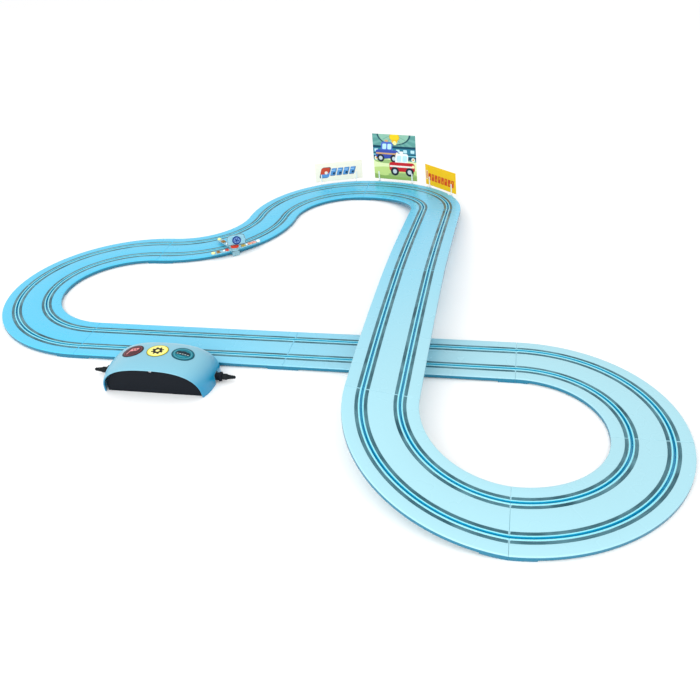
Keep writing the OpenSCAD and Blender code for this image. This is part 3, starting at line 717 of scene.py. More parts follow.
@dataclass(frozen=True)
class HoodPlastic:
    """The hood's plastic: paler on its crown as a painted sheen, deeper down its flanks as painted shade."""

    # crown: paler, a painted sheen; flank: deeper, a painted shade
    crown: Colour = (0.18, 0.45, 0.57)
    flank: Colour = (0.0, 0.23, 0.42)
    roughness: float = 0.27

    def make(self, name: str, grain: bpy.types.NodeTree) -> bpy.types.Material:
        """Builds the material: the paint attribute's red part mixes from the flank's painted shade to the
        crown's painted sheen.

        Args:
            name: Name of the material.
            grain: The moulded grain group.

        Returns:
            The node material.
        """
        shader = Shader(name)
        place = shader.node("ShaderNodeTexCoord")
        masks = shader.node("ShaderNodeAttribute")
        masks.attribute_name = "paint"
        split = shader.node("ShaderNodeSeparateColor")
        shader.join(masks.outputs["Color"], split.inputs["Color"])
        mix = shader.node("ShaderNodeMix")
        mix.data_type = "RGBA"
        mix.inputs[6].default_value = (*self.flank, 1)
        mix.inputs[7].default_value = (*self.crown, 1)
        shader.join(split.outputs["Red"], mix.inputs["Factor"])
        mould = shader.group(grain, Roughness=self.roughness, Spread=0.05)
        shader.join(mix.outputs[2], mould.inputs["Base"])
        shader.join(mix.outputs[2], mould.inputs["Tint"])
        shader.join(place.outputs["Object"], mould.inputs["Vector"])
        shader.join(mould.outputs["Color"], shader.surface.inputs["Base Color"])
        shader.join(mould.outputs["Roughness"], shader.surface.inputs["Roughness"])
        shader.bump(mould.outputs["Height"], 0.03, 0.0002)
        shader.set(Coat_Weight=0.15, Coat_Roughness=0.15)
        return shader.material


@dataclass(frozen=True)
class Metal:
    """A drawn or plated metal: dark and bright tones, gloss and streaks."""

    dark: Colour
    bright: Colour
    roughness: float = 0.4
    metallic: float = 1.0
    along: float = 60.0
    across: float = 2600.0
    by_uv: bool = True

    def make(self, name: str, streaks: bpy.types.NodeTree) -> bpy.types.Material:
        """Builds the material, with streaks along the piece's own UV or along X.

        Args:
            name: Name of the material.
            streaks: The drawn streaks group.

        Returns:
            The node material.
        """
        shader = Shader(name)
        place = shader.node("ShaderNodeTexCoord")
        drawn = shader.group(streaks, Along=self.along, Across=self.across, Roughness=self.roughness)
        drawn.inputs["Dark"].default_value = (*self.dark, 1)
        drawn.inputs["Bright"].default_value = (*self.bright, 1)
        shader.join(place.outputs["UV" if self.by_uv else "Object"], drawn.inputs["UV"])
        shader.join(drawn.outputs["Color"], shader.surface.inputs["Base Color"])
        shader.join(drawn.outputs["Roughness"], shader.surface.inputs["Roughness"])
        shader.bump(drawn.outputs["Height"], 0.08, 0.0001)
        shader.set(Metallic=self.metallic)
        return shader.material


@dataclass(frozen=True)
class Printed:
    """Ink on card or film: the colour painted on the piece, with fine fibre under the varnish."""

    roughness: float = 0.35
    specular: float = 0.2

    def make(self, name: str, grain: bpy.types.NodeTree) -> bpy.types.Material:
        """Builds the material from the piece's paint attribute.

        Args:
            name: Name of the material.
            grain: The moulded grain group.

        Returns:
            The node material.
        """
        shader = Shader(name)
        place = shader.node("ShaderNodeTexCoord")
        colour = shader.node("ShaderNodeAttribute")
        colour.attribute_name = "paint"
        mould = shader.group(grain, Roughness=self.roughness, Spread=0.05)
        mould.inputs["Grain Scale"].default_value = 1400.0
        shader.join(colour.outputs["Color"], mould.inputs["Base"])
        shader.join(colour.outputs["Color"], mould.inputs["Tint"])
        shader.join(place.outputs["Object"], mould.inputs["Vector"])
        shader.join(mould.outputs["Color"], shader.surface.inputs["Base Color"])
        shader.join(mould.outputs["Roughness"], shader.surface.inputs["Roughness"])
        shader.bump(mould.outputs["Height"], 0.04, 0.0002)
        shader.set(Specular_IOR_Level=self.specular)
        return shader.material


class Palette:
    """All finishes of the set, made once."""

    def __init__(self) -> None:
        """Builds the shared node groups and every material."""
        grain, streaks = moulded_grain(), drawn_streaks()
        moulded = {
            Finish.SKY: SheenRampPlastic(),
            Finish.HOOD: HoodPlastic(),
            Finish.BLACK: Plastic((0.004, 0.006, 0.010), (0.007, 0.010, 0.015), 0.5, 0.08, 0.2,
                                  specular=0.12),
            Finish.RUBBER: Plastic((0.006, 0.009, 0.011), (0.010, 0.014, 0.016), 0.6, 0.1, 0.3,
                                   specular=0.15),
            Finish.CLEAR: Plastic((0.42, 0.74, 0.84), (0.38, 0.70, 0.82), 0.1, 0.04, 0.01, transmission=0.5),
            Finish.STAKE: Plastic((0.92, 0.95, 0.95), (0.88, 0.93, 0.94), 0.2, 0.04, 0.01, transmission=0.1),
            Finish.RED: Plastic((0.60, 0.045, 0.018), (0.50, 0.03, 0.012), 0.3, 0.05, 0.02, specular=0.25),
            Finish.CIRCUIT: Plastic((0.01, 0.10, 0.04), (0.012, 0.14, 0.06), 0.3, 0.1, 0.1),
            Finish.CARD: Printed(),
            Finish.FILM: Printed(0.28, 0.12),
            Finish.PAINT: Printed(0.24),
        }
        drawn = {
            Finish.STRIP: Metal((0.018, 0.085, 0.115), (0.13, 0.31, 0.37), 0.4, 0.7),
            Finish.STEEL: Metal((0.42, 0.43, 0.45), (0.7, 0.71, 0.73), 0.3, along=400.0, across=900.0,
                                by_uv=False),
        }
        self.made = {key: value.make(key.value, grain) for key, value in moulded.items()}
        self.made |= {key: value.make(key.value, streaks) for key, value in drawn.items()}

    def __getitem__(self, finish: Finish) -> bpy.types.Material:
        """The material of that finish."""
        return self.made[finish]

    def dress(self, node: str, finish: Finish) -> None:
        """Gives a node of the frame that stays in view its finish.

        Args:
            node: Name of the node.
            finish: The finish it gets.
        """
        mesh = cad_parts[node].data
        if not mesh.materials:
            mesh.materials.append(self[finish])
        for index in range(len(mesh.materials)):
            mesh.materials[index] = self[finish]
        LOG.info("%s: keeps its solid, %s", node, finish.value)


# ---------------------------------------------------------------------- track
@dataclass(frozen=True)
class Rise:
    """How a raised piece climbs and banks: heights in mm, slopes, and banks in degrees."""

    start_h: float = 0.0
    end_h: float = 0.0
    start_slope: float = 0.0
    end_slope: float = 0.0
    start_bank: float = 0.0
    end_bank: float = 0.0


@dataclass(frozen=True)
class Run:
    """The centreline of one track piece, in curve radii from the layout's middle."""

    name: str
    anchor: tuple[float, float]
    start: float
    turn: float
    rise: Rise = Rise()
    radius: float = 171.0

    @property
    def length(self) -> float:
        """Length along the middle of the piece."""
        return 2 * self.radius if self.turn == 0 else math.pi / 2 * self.radius

    @property
    def raised(self) -> bool:
        """Whether the piece leaves the floor."""
        return self.rise != Rise()

    def height(self, u: Array) -> Array:
        """Height of the floor line at u: the cubic with the end heights and end slopes."""
        r = self.rise
        return (r.start_h * (2 * u**3 - 3 * u**2 + 1) + r.end_h * (3 * u**2 - 2 * u**3)
                + self.length * (r.start_slope * (u**3 - 2 * u**2 + u) + r.end_slope * (u**3 - u**2)))

    def place(self, along: Array, across: Array, up: Array) -> Array:
        """Points of the piece in metres.

        The middle line is straight or an arc. Its height is the cubic that has
        the given heights and slopes at both ends, and its bank changes evenly.
        A section point lies at its distance to the left and its height, turned
        by the bank.

        Args:
            along: Distances from the piece's start.
            across: Distances to the left of the middle.
            up: Heights above the track's own floor.

        Returns:
            Points, in the shape that the three arrays broadcast to, with 3 added.
        """
        along, across, up = np.broadcast_arrays(*map(np.asarray, (along, across, up)))
        u, r = along / self.length, self.rise
        if self.turn == 0:
            a = math.radians(self.start)
            mid = np.stack([self.radius * self.anchor[0] + along * math.cos(a),
                            self.radius * self.anchor[1] + along * math.sin(a)], -1)
            left = np.broadcast_to([-math.sin(a), math.cos(a)], mid.shape)
        else:
            a = np.radians(self.start + self.turn * u)
            out = np.stack([np.cos(a), np.sin(a)], -1)
            mid = self.radius * (np.array(self.anchor) + out)
            left = -math.copysign(1, self.turn) * out
        height = self.height(u)
        bank = np.radians(r.start_bank + (r.end_bank - r.start_bank) * u)
        side = across * np.cos(bank) - up * np.sin(bank)
        z = height + across * np.sin(bank) + up * np.cos(bank)
        return np.concatenate([mid + left * side[..., None], z[..., None]], -1) * MM


LOOP_LENGTH = math.pi / 2 * 171.0
LOOP_BANK = -math.degrees(math.asin(6.0 / 50.0))
LAYOUT = [
    Run("straight_power", (-2, -1), 0, 0),
    Run("straight_underpass", (0, -1), 0, 0),
    Run("curve_loop_a", (2, -2), 90, -90),
    Run("curve_loop_b", (2, -2), 0, -90, Rise(0, 6, 6 / LOOP_LENGTH, 6 / LOOP_LENGTH, 0, LOOP_BANK)),
    Run("curve_climb", (2, -2), -90, -90, Rise(6, 48, 0.10, 0.15, LOOP_BANK, 8)),
    Run("straight_bridge", (1, -2), 90, 0, Rise(48, 56, 0.09, -0.02, 8, 0)),
    Run("straight_descent", (1, 0), 90, 0, Rise(56, 22, -0.05, -0.12, 0, 0)),
    Run("curve_back_a", (0, 2), 0, 90, Rise(22, 0, -0.12, 0, 0, 0)),
    Run("curve_back_b", (0, 2), 90, 90),
    Run("curve_s", (-2, 2), 0, -90),
    Run("curve_left_a", (-2, 0), 90, 90),
    Run("curve_left_b", (-2, 0), 180, 90),
]
BOARD_RUN = next(run for run in LAYOUT if run.name == "curve_back_a")


@dataclass
class TrackPiece:
    """One moulded length of track with its four contact strips."""

    run: Run
    palette: Palette
    half_w: float = 50.0
    lane: float = 25.0
    deck: float = 8.0
    deck_t: float = 2.0
    slot_w: float = 3.4
    slot_floor: float = 2.4
    channel_t: float = 1.5
    channel_floor: float = 1.2
    rib_w: float = 1.9
    rib_h: float = 0.6
    rail_w: float = 4.1
    rail_off: float = 6.1
    rail_t: float = 0.7
    seat: float = 0.575
    play: float = 0.15
    skirt_t: float = 2.0
    skirt_lift: float = 1.8
    foot: float = 24.0
    seam: float = 0.1
    chamfer: float = 0.35
    neck: tuple[float, float] | None = None

    def lane_top(self, c: float) -> list[tuple[float, float, float]]:
        """Corners across one lane: two strip seats and the ribbed slot between them.

        Args:
            c: Distance of the lane's middle to the left.

        Returns:
            Left, height and radius of each corner.
        """
        g0 = self.rail_off - self.rail_w / 2 - self.play
        g1 = self.rail_off + self.rail_w / 2 + self.play
        s, z, zg, zr = self.slot_w / 2, self.deck, self.deck - self.seat, self.deck + self.rib_h
        half = [(-g1, z, 0.25), (-g1, zg, 0.1), (-g0, zg, 0.1), (-g0, z, 0.15),
                (-s - self.rib_w, z, 0.1), (-s - self.rib_w + 0.4, zr, 0.3),
                (-s, zr, 0.35), (-s, self.slot_floor, 0.3)]
        return [(c + x, y, r) for x, y, r in half] + [(c - x, y, r) for x, y, r in reversed(half)]

    def lane_under(self, c: float) -> list[tuple[float, float, float]]:
        """Corners of the channel that holds one slot, seen from below.

        Args:
            c: Distance of the lane's middle to the left.

        Returns:
            Left, height and radius of each corner.
        """
        k, z = self.slot_w / 2 + self.channel_t, self.deck - self.deck_t
        return [(c + k, z, 0.4), (c + k, self.channel_floor, 0.4),
                (c - k, self.channel_floor, 0.4), (c - k, z, 0.4)]

    def outline(self) -> Array:
        """The whole section, clockwise from the foot of the right skirt, with feet at height 0.

        Returns:
            Points to the left and up, one row each.
        """
        w, z, under = self.half_w, self.deck, self.deck - self.deck_t
        corners = [(-w, 0, 0.3), (-w, z, 2.0)]
        corners += self.lane_top(-self.lane) + self.lane_top(self.lane)
        corners += [(w, z, 2.0), (w, 0, 0.3), (w - self.skirt_t, 0, 0.3), (w - self.skirt_t, under, 0.6)]
        corners += self.lane_under(self.lane) + self.lane_under(-self.lane)
        corners += [(-w + self.skirt_t, under, 0.6), (-w + self.skirt_t, 0, 0.3)]
        return rounded(corners, 4)

    def stations(self) -> Array:
        """Distances along the piece at which a section stands.

        Returns:
            Distances in growing order.
        """
        n = 60 if self.run.turn else (48 if self.run.raised else 10)
        end = self.run.length - self.seam
        middle = np.linspace(self.foot + 0.4, self.run.length - self.foot - 0.4, n)
        ends = [self.seam, self.seam + self.chamfer, 6.0, 12.0, 18.0, self.foot]
        extra = [] if self.neck is None else [x + d for x in self.neck for d in (0.0, 0.01)]
        both = np.concatenate([ends, middle, self.run.length - np.array(ends[2:]),
                               [end - self.chamfer, end], extra])
        return np.unique(np.round(both, 4))

    def lift(self, s: Array, right: bool) -> Array:
        """How far the skirt is cut short at distance s: none at the feet, all of it at the power box.

        Args:
            s: Distances along the piece.
            right: Whether it is the skirt beside the power box.

        Returns:
            Height by which the skirt is cut, at each distance.
        """
        between = (s > self.foot + 0.2) & (s < self.run.length - self.foot - 0.2)
        up = np.where(between, self.skirt_lift, 0.0)
        if right and self.neck is not None:
            up = np.where((s > self.neck[0] + 0.005) & (s < self.neck[1] + 0.005),
                          self.deck - self.deck_t - 0.1, up)
        return up

    def shade_and_highlight_masks(self, flat: Array) -> Array:
        """Masks along the section: red for the slots' painted shade, green for the ribs' painted highlight,
        blue for the skirts' painted shade.

        Args:
            flat: Points of the section.

        Returns:
            One row of three masks for each point.
        """
        t, z = flat.T
        near = np.min(np.abs(np.abs(t)[:, None] - self.lane), axis=1)
        # painted shade: the slot's floor and walls get the darker slot colour
        slot_shade = (near < self.slot_w / 2 + 0.05) & (z < self.deck + self.rib_h - 0.15)
        # painted shade: the skirts' side walls get the dark skirt colour
        skirt = (np.abs(t) > self.half_w - 0.05) & (z < self.deck - 0.9)
        # painted highlight: the ribs' tops beside each slot get the bright colour
        rib_highlight = (near < self.slot_w / 2 + self.rib_w) & (z > self.deck + 0.1)
        return np.stack([slot_shade, rib_highlight, skirt], -1).astype(float)

    def build_body(self) -> None:
        """Sweeps the section along the piece and adds its cross ribs and joint tongue."""
        skin, flat, s = Skin(0.0), self.outline(), self.stations()
        t, z = np.repeat(flat[None, :, 0], len(s), 0), np.repeat(flat[None, :, 1], len(s), 0)
        low = z < self.skirt_lift
        skirts = low & (np.abs(t) > self.half_w - self.skirt_t - 0.01)
        lift = np.where(t < 0, self.lift(s, True)[:, None], self.lift(s, False)[:, None])
        z = np.where(skirts, np.maximum(z, 0) * 0.4 + lift, z)
        ends = np.zeros(len(s))
        ends[[0, -1]] = self.chamfer
        z = z - np.where(z > self.deck - 1.2, ends[:, None], 0.0)
        start = skin.grid(self.run.place(s[:, None], t, z), round_cols=True,
                          paint=np.broadcast_to(self.shade_and_highlight_masks(flat), (*t.shape, 3)))
        skin.cap(start, len(flat))
        skin.cap(start + (len(s) - 1) * len(flat), len(flat))
        self.add_cross_ribs(skin)
        skin.build(self.run.name + "_moulding", [self.palette[Finish.SKY]], "track_set", "track_blue",
                   [self.run.name], sharp=30)

    def block(self, skin: Skin, s: tuple[float, float], t: tuple[float, float],
              z: tuple[float, float]) -> None:
        """Adds a small block that follows the piece from s[0] to s[1].

        Args:
            skin: Piece that gets the block.
            s: First and last distance along.
            t: Both distances to the left.
            z: Both heights.
        """
        ring_t = np.array([t[0], t[1], t[1], t[0]])
        ring_z = np.array([z[0], z[0], z[1], z[1]])
        skin.tube(self.run.place(np.linspace(*s, 3)[:, None], ring_t[None], ring_z[None]))

    def add_cross_ribs(self, skin: Skin) -> None:
        """Adds the stiffening ribs under the deck and the tongue that joins the piece before.

        Args:
            skin: Piece that gets the ribs and the tongue.
        """
        k = self.slot_w / 2 + self.channel_t - 0.1
        bays = [(-self.half_w + self.skirt_t - 0.1, -self.lane - k), (-self.lane + k, self.lane - k),
                (self.lane + k, self.half_w - self.skirt_t + 0.1)]
        under = self.deck - self.deck_t + 0.2
        for s in np.arange(30.0, self.run.length - 28.0, 19.0):
            for bay in bays:
                self.block(skin, (s, s + 1.4), bay, (under - 3.0, under))
        self.block(skin, (-14.0, 5.6), (-15.0, 15.0), (3.95, 5.75))
        self.block(skin, (0.5, 5.6), (-15.0, 15.0), (5.6, 6.3))

    def build_strips(self) -> None:
        """Lays the four contact strips, each with its ends pressed down into the deck."""
        skin = Skin()
        gap, base = 1.0, self.deck - 0.5
        w, top = self.rail_w / 2, self.deck - 0.5 + self.rail_t
        flat = rounded([(-w, base, 0.05), (w, base, 0.05), (w, top, 0.22), (-w, top, 0.22)], 3)
        n = 60 if self.run.turn else 40
        fine = np.array([0, 0.5, 1.2, 2.2, 3.4])
        s = np.concatenate([gap + fine, np.linspace(gap + 6, self.run.length - gap - 6, n),
                            self.run.length - gap - fine[::-1]])
        reach = np.minimum(s - gap, self.run.length - gap - s)
        dip = 0.42 * np.clip(1 - reach / 3.4, 0, 1) ** 2
        for c in (-self.lane - self.rail_off, -self.lane + self.rail_off,
                  self.lane - self.rail_off, self.lane + self.rail_off):
            t = c + flat[None, :, 0] * (1 - 0.12 * np.clip(1 - reach / 1.2, 0, 1))[:, None]
            z = flat[None, :, 1] - dip[:, None] * (flat[None, :, 1] > base + 0.1)
            uv = np.stack(np.broadcast_arrays(s[:, None] * MM, t * MM), -1)
            skin.tube(self.run.place(s[:, None], t, z), uv=uv)
        skin.build(self.run.name + "_strips", [self.palette[Finish.STRIP]], "track_set", "rail_steel",
                   ["rails_" + self.run.name.split("_", 1)[1]])


# ------------------------------------------------------------------- pictures
class Canvas:
    """Inks laid over the points of a flat picture, one after another."""

    def __init__(self, x: Array, y: Array, ground: Colour, soft: float = 0.5) -> None:
        """Covers the picture with a ground colour; soft is the width of an ink's edge."""
        self.x, self.y, self.soft = x, y, soft
        self.colour = np.zeros((*x.shape, 3)) + np.array(ground)

    def lay(self, distance: Array, colour: Colour) -> None:
        """Lays a colour where a signed distance is below zero."""
        mask = np.clip(0.5 - distance / self.soft, 0, 1)[..., None]
        self.colour = self.colour * (1 - mask) + np.array(colour) * mask

    def disc(self, x: float, y: float, r: float, colour: Colour, squash: float = 1.0) -> None:
        """Lays a disc, squashed in height by a factor."""
        self.lay(np.hypot(self.x - x, (self.y - y) / squash) - r, colour)

    def ring(self, x: float, y: float, r: float, width: float, colour: Colour) -> None:
        """Lays a ring of middle radius r."""
        self.lay(np.abs(np.hypot(self.x - x, self.y - y) - r) - width / 2, colour)

    def block(self, x: float, y: float, w: float, h: float, colour: Colour, slant: float = 0.0,
              corner: float = 1.0) -> None:
        """Lays a slanted block with round corners.

        Args:
            x: Middle of the block across.
            y: Middle of the block in height.
            w: Width.
            h: Height.
            colour: Its colour.
            slant: Sideways shift for each unit of height.
            corner: Radius of the corners.
        """
        dx = np.abs(self.x - x - slant * (self.y - y)) - w / 2 + corner
        dy = np.abs(self.y - y) - h / 2 + corner
        outside = np.hypot(np.maximum(dx, 0), np.maximum(dy, 0))
        self.lay(outside + np.minimum(np.maximum(dx, dy), 0) - corner, colour)

    def spokes(self, x: float, y: float, r: float, count: int, width: float, colour: Colour,
               turn: float = 0.0) -> None:
        """Lays straight spokes from a middle out to a radius.

        Args:
            x: Middle across.
            y: Middle in height.
            r: Length of a spoke.
            count: Number of spokes.
            width: Width of a spoke.
            colour: Their colour.
            turn: Direction of the first one, in degrees.
        """
        dx, dy = self.x - x, self.y - y
        for a in np.radians(turn) + 2 * np.pi * np.arange(count) / count:
            along = dx * math.cos(a) + dy * math.sin(a)
            side = np.abs(dy * math.cos(a) - dx * math.sin(a))
            self.lay(np.maximum(side - width / 2, np.maximum(-along, along - r)), colour)

    def toy_car(self, x: float, y: float, w: float, body: Colour, cab: Colour, trim: Colour) -> None:
        """Lays a toy car seen from the side, standing on height y.

        Args:
            x: Middle of the car across.
            y: Height of the ground under it.
            w: Length of the car.
            body: Colour of its body.
            cab: Colour of its cab.
            trim: Colour of its stripe and lamp.
        """
        dark, grey, glass = ink("1E2733"), ink("C9D2D6"), ink("BFE6F2")
        self.disc(x, y + 0.02 * w, 0.56 * w, ink("9DBB74"), 0.14)
        self.block(x, y + 0.62 * w, 0.50 * w, 0.40 * w, cab, 0.12, 0.10 * w)
        self.block(x - 0.10 * w, y + 0.63 * w, 0.17 * w, 0.22 * w, glass, 0.12, 0.04 * w)
        self.block(x + 0.12 * w, y + 0.63 * w, 0.17 * w, 0.22 * w, glass, 0.12, 0.04 * w)
        self.block(x, y + 0.32 * w, w, 0.34 * w, body, 0.0, 0.10 * w)
        self.block(x, y + 0.34 * w, 0.96 * w, 0.06 * w, trim, 0.0, 0.01 * w)
        self.disc(x + 0.44 * w, y + 0.36 * w, 0.05 * w, ink("FFF3B0"))
        self.block(x, y + 0.86 * w, 0.14 * w, 0.08 * w, trim, 0.0, 0.03 * w)
        for side in (-1, 1):
            self.disc(x + side * 0.29 * w, y + 0.15 * w, 0.16 * w, dark)
            self.disc(x + side * 0.29 * w, y + 0.15 * w, 0.08 * w, grey)


# ------------------------------------------------------------------ power box
@dataclass(frozen=True)
class HoodShape:
    """Sizes of the hood's shell, in millimetres, with y from the track's edge."""

    height: float = 52.5
    half_w: float = 83.5
    front: float = -82.0
    crest: float = -63.0
    back: float = -0.9
    widest: float = -45.0
    reach: float = 72.0
    lean: float = 11.0
    drop: float = 4.0
    power: float = 2.6
    back_power: float = 4.0
    thick: float = 2.0

    def side(self, y: Array, d: float = 0.0) -> Array:
        """Half width at depth y, grown by d."""
        return self.half_w * (1 - (np.abs(y - self.widest) / self.reach) ** 2.5) ** 0.4 + d

    def ring(self, s: Array, w: Array, d: float = 0.0) -> Array:
        """Points of the shell's face, grown by d.

        Station s is 0 at the front rim, 1 at the crest and 2 at the back. The
        ridge drops and leans forward before the crest, and is a superellipse
        behind it. Across, each station is a superellipse arch, and w goes from
        0 to pi along it.

        Args:
            s: Stations from front to back.
            w: Angles across.
            d: Growth of the face.

        Returns:
            Points with 3 as their last size.
        """
        q = np.clip(s - 1, 0, 1) * np.pi / 2
        ahead = np.clip(1 - s, 0, 1)
        y = np.where(s <= 1, self.front + s * (self.crest - self.front),
                     self.crest + (self.back + d - self.crest) * np.sin(q) ** (2 / self.back_power))
        h = np.where(s <= 1, self.height - self.drop * ahead**2 + d,
                     (self.height + d) * np.maximum(np.cos(q), 0) ** (2 / self.back_power))
        c, v = np.cos(w), np.maximum(np.sin(w), 0)
        z = h * v ** (2 / self.power)
        x = self.side(y, d) * np.sign(c) * np.abs(c) ** (2 / self.power)
        return np.stack(np.broadcast_arrays(x, y - self.lean * ahead * z / self.height, z), -1)

    def top(self, x: Array, y: Array, d: float = 0.0) -> Array:
        """Height of the outer face, grown by d, above a point behind the crest.

        Args:
            x: Places across.
            y: Depths.
            d: Growth of the face.

        Returns:
            Heights.
        """
        u = np.maximum(0, (y - self.crest) / (self.back - self.crest))
        h = self.height * (1 - u**self.back_power) ** (1 / self.back_power)
        return h * (1 - (np.abs(x) / self.side(y)) ** self.power) ** (1 / self.power) + d


@dataclass
class PowerBox:
    """The battery box: hood, housing, cells, stickers, latch and plugs."""

    palette: Palette
    shape: HoodShape = field(default_factory=HoodShape)
    hinge: tuple[float, float] = (-7.0, 14.0)
    knuckle_x: float = 44.0
    plug: tuple[float, float, float] = (68.0, -39.2, 8.5)
    sticker_x: tuple[float, float, float] = (-38.0, 1.3, 40.0)
    sticker_y: float = -46.8
    sticker_r: float = 16.3
    cell_y: tuple[float, float] = (-27.0, -54.2)
    cell_z: float = 15.8

    def __post_init__(self) -> None:
        """Finds the box's own origin: above its hinge pin's middle, at the track's edge."""
        low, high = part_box("hood_hinge_pin")
        x = (low[0] + high[0]) / 2 / MM
        self.place = Placement((x, (low[1] + high[1]) / 2 / MM - self.hinge[0], 0.0))

    def build(self) -> None:
        """Builds every piece of the box."""
        self.build_hood()
        self.build_stickers()
        self.build_cells()
        self.build_screw()
        for side, name in ((-1, "left"), (1, "right")):
            self.build_plug(side, name)
        made = self.palette
        bevelled_copy("power_housing", "housing_moulding", made[Finish.BLACK], "track_set",
                      0.35)
        bevelled_copy("hood_latch", "latch_tab", made[Finish.BLACK], "hood", 0.3)
        for node in ("hood_hinge_pin", "contact_springs", "contact_plates"):
            made.dress(node, Finish.STEEL)
        made.dress("jack_sockets", Finish.RUBBER)
        made.dress("wiring_board", Finish.CIRCUIT)

    def hood_skin(self) -> Skin:
        """The uncut shell.

        For each angle across, the outer face runs from back to front, turns
        round the front rim in a half circle and runs back along the inner
        face. The crown mask is a smooth step of the height.

        Returns:
            The shell's points and faces.
        """
        skin, t = Skin(0.0), self.shape.thick
        s = np.concatenate([np.linspace(2, 1, 60), np.linspace(1, 0, 24)[1:]])
        w = np.linspace(0, np.pi, 121)[:, None]
        outer, inner = self.shape.ring(s[None], w), self.shape.ring(s[::-1][None], w, -t)
        middle, half = (outer[:, -1:] + inner[:, :1]) / 2, (outer[:, -1:] - inner[:, :1]) / 2
        a = np.radians([30, 60, 90, 120, 150])[None, :, None]
        rim = middle + half * np.cos(a) + np.array([0.0, -0.9, 0.0]) * np.sin(a)
        loops = np.concatenate([outer, rim, inner], 1)
        # painted light: higher points get the paler crown colour, lower ones the darker flank colour
        crown_sheen_ramp = np.clip((loops[..., 2] - 13) / 33, 0, 1)
        crown = (crown_sheen_ramp * crown_sheen_ramp * (3 - 2 * crown_sheen_ramp))[..., None] * np.array([1.0, 0, 0])
        skin.tube(self.place.put(loops), paint=crown)
        return skin

    def cutters(self) -> bpy.types.Object:
        """Solids that leave room for the plugs, the track's edge and the hinge's ears.

        Returns:
            One object that holds every solid.
        """
        skin = Skin()
        px, py, _ = self.plug
        notch = rounded([(py - 8, -3, 0), (py + 8, -3, 0), (py + 8, 15, 4), (py - 8, 15, 4)], 6)
        across = self.place.within((0, 0, 0), turned(90, "Z") @ turned(90, "X"))
        for x0, x1 in ((-px - 20, -px + 4), (px - 4, px + 20)):
            skin.slab(notch, x0, x1, across, bevel=0.01)
        skin.box((-90, self.hinge[0] - 1, -2), (90, 3, 9), self.place, bevel=0.01, corner=0.01)
        for x in (-self.knuckle_x, self.knuckle_x):
            skin.box((x - 10, self.hinge[0] - 1, 5), (x + 10, 3, 15), self.place, bevel=0.01, corner=0.01)
        mesh = bpy.data.meshes.new("hood_cutters")
        mesh.from_pydata(np.concatenate(skin.points).tolist(), [], skin.faces)
        work = bmesh.new()
        work.from_mesh(mesh)
        bmesh.ops.recalc_face_normals(work, faces=work.faces)
        work.to_mesh(mesh)
        work.free()
        cutter = bpy.data.objects.new("hood_cutters", mesh)
        bpy.context.scene.collection.objects.link(cutter)
        return cutter

    def build_hood(self) -> None:
        """Cuts the shell and adds the hinge's knuckles, each on a short web."""
        shell = self.hood_skin().build("hood_shell", [self.palette[Finish.HOOD]], "hood", "hood_blue",
                                       ["power_hood"], sharp=40)
        cutter = self.cutters()
        cut = shell.modifiers.new("cut", "BOOLEAN")
        cut.object, cut.operation, cut.solver, cut.use_self = cutter, "DIFFERENCE", "EXACT", True
        depsgraph = bpy.context.evaluated_depsgraph_get()
        shell.data = bpy.data.meshes.new_from_object(shell.evaluated_get(depsgraph))
        shell.modifiers.clear()
        bpy.data.objects.remove(cutter)
        skin = Skin(0.0)
        y, z = self.hinge
        for x in (-self.knuckle_x, self.knuckle_x):
            own = self.place.within((x, y, z), turned(90, "Y"))
            skin.lathe([(1.55, -3.8), (1.55, 3.8), (1.8, 4), (2.7, 4), (3, 3.7), (3, -3.7), (2.7, -4),
                        (1.8, -4)],
                       own, 32, hollow=True)
            skin.box((x - 4, y - 1.2, z + 1.9), (x + 4, y + 4.4, z + 11), self.place, bevel=0.4, corner=0.4)
        skin.build("hood_knuckles", [self.palette[Finish.HOOD]], "hood", "hood_blue")

    def build_stickers(self) -> None:
        """Lays the three round stickers on the hood.

        Each is a polar grid that follows the hood's top: the face at the film's
        height, then down over the edge and back underneath to the middle.
        """
        r0, low, high = self.sticker_r, 0.15, 0.55
        radius = np.concatenate([np.linspace(0, r0 - 0.3, 56), [r0 - 0.1, r0, r0, r0 - 0.3, 0.0]])
        lift = np.concatenate([np.full(56, high), [high - 0.05, high - 0.15, low + 0.1, low, low]])
        a = np.linspace(0, 2 * np.pi, 144, endpoint=False)
        x, y = radius[:, None] * np.cos(a), radius[:, None] * np.sin(a)
        looks = (("sticker_left", "sticker_maroon", self.maroon_art),
                 ("sticker_middle", "sticker_yellow", self.yellow_art),
                 ("sticker_right", "sticker_teal", self.teal_art))
        for middle, (name, slot, art) in zip(self.sticker_x, looks):
            px, py = middle + x, self.sticker_y + y
            points = np.stack([px, py, self.shape.top(px, py) + lift[:, None]], -1)
            skin = Skin()
            skin.grid(self.place.put(points), round_cols=True, paint=art(x, y))
            skin.build(name + "_film", [self.palette[Finish.FILM]], "hood", slot, [name], sharp=60)

    def maroon_art(self, x: Array, y: Array) -> Array:
        """A dark-rimmed maroon disc with a flag on a pole.

        Args:
            x: Points across, from the picture's middle.
            y: Points in height.

        Returns:
            Colour at each point.
        """
        art = Canvas(x, y, ink("26070E"))
        art.disc(0, 0, 13.8, ink("430C16"))
        art.ring(0, 0, 13.2, 0.5, ink("A04350"))
        pink = ink("E58F90")
        art.block(-5.2, -0.5, 1.5, 15, pink, 0.25, 0.6)
        art.block(1.6, 3.2, 11.5, 7.6, pink, 0.25, 1.2)
        for dx, dy in ((-1.4, 4.8), (3.2, 4.8), (0.9, 1.8), (5.0, 1.8)):
            art.block(dx, dy, 2.3, 2.6, ink("430C16"), 0.25, 0.3)
        return art.colour

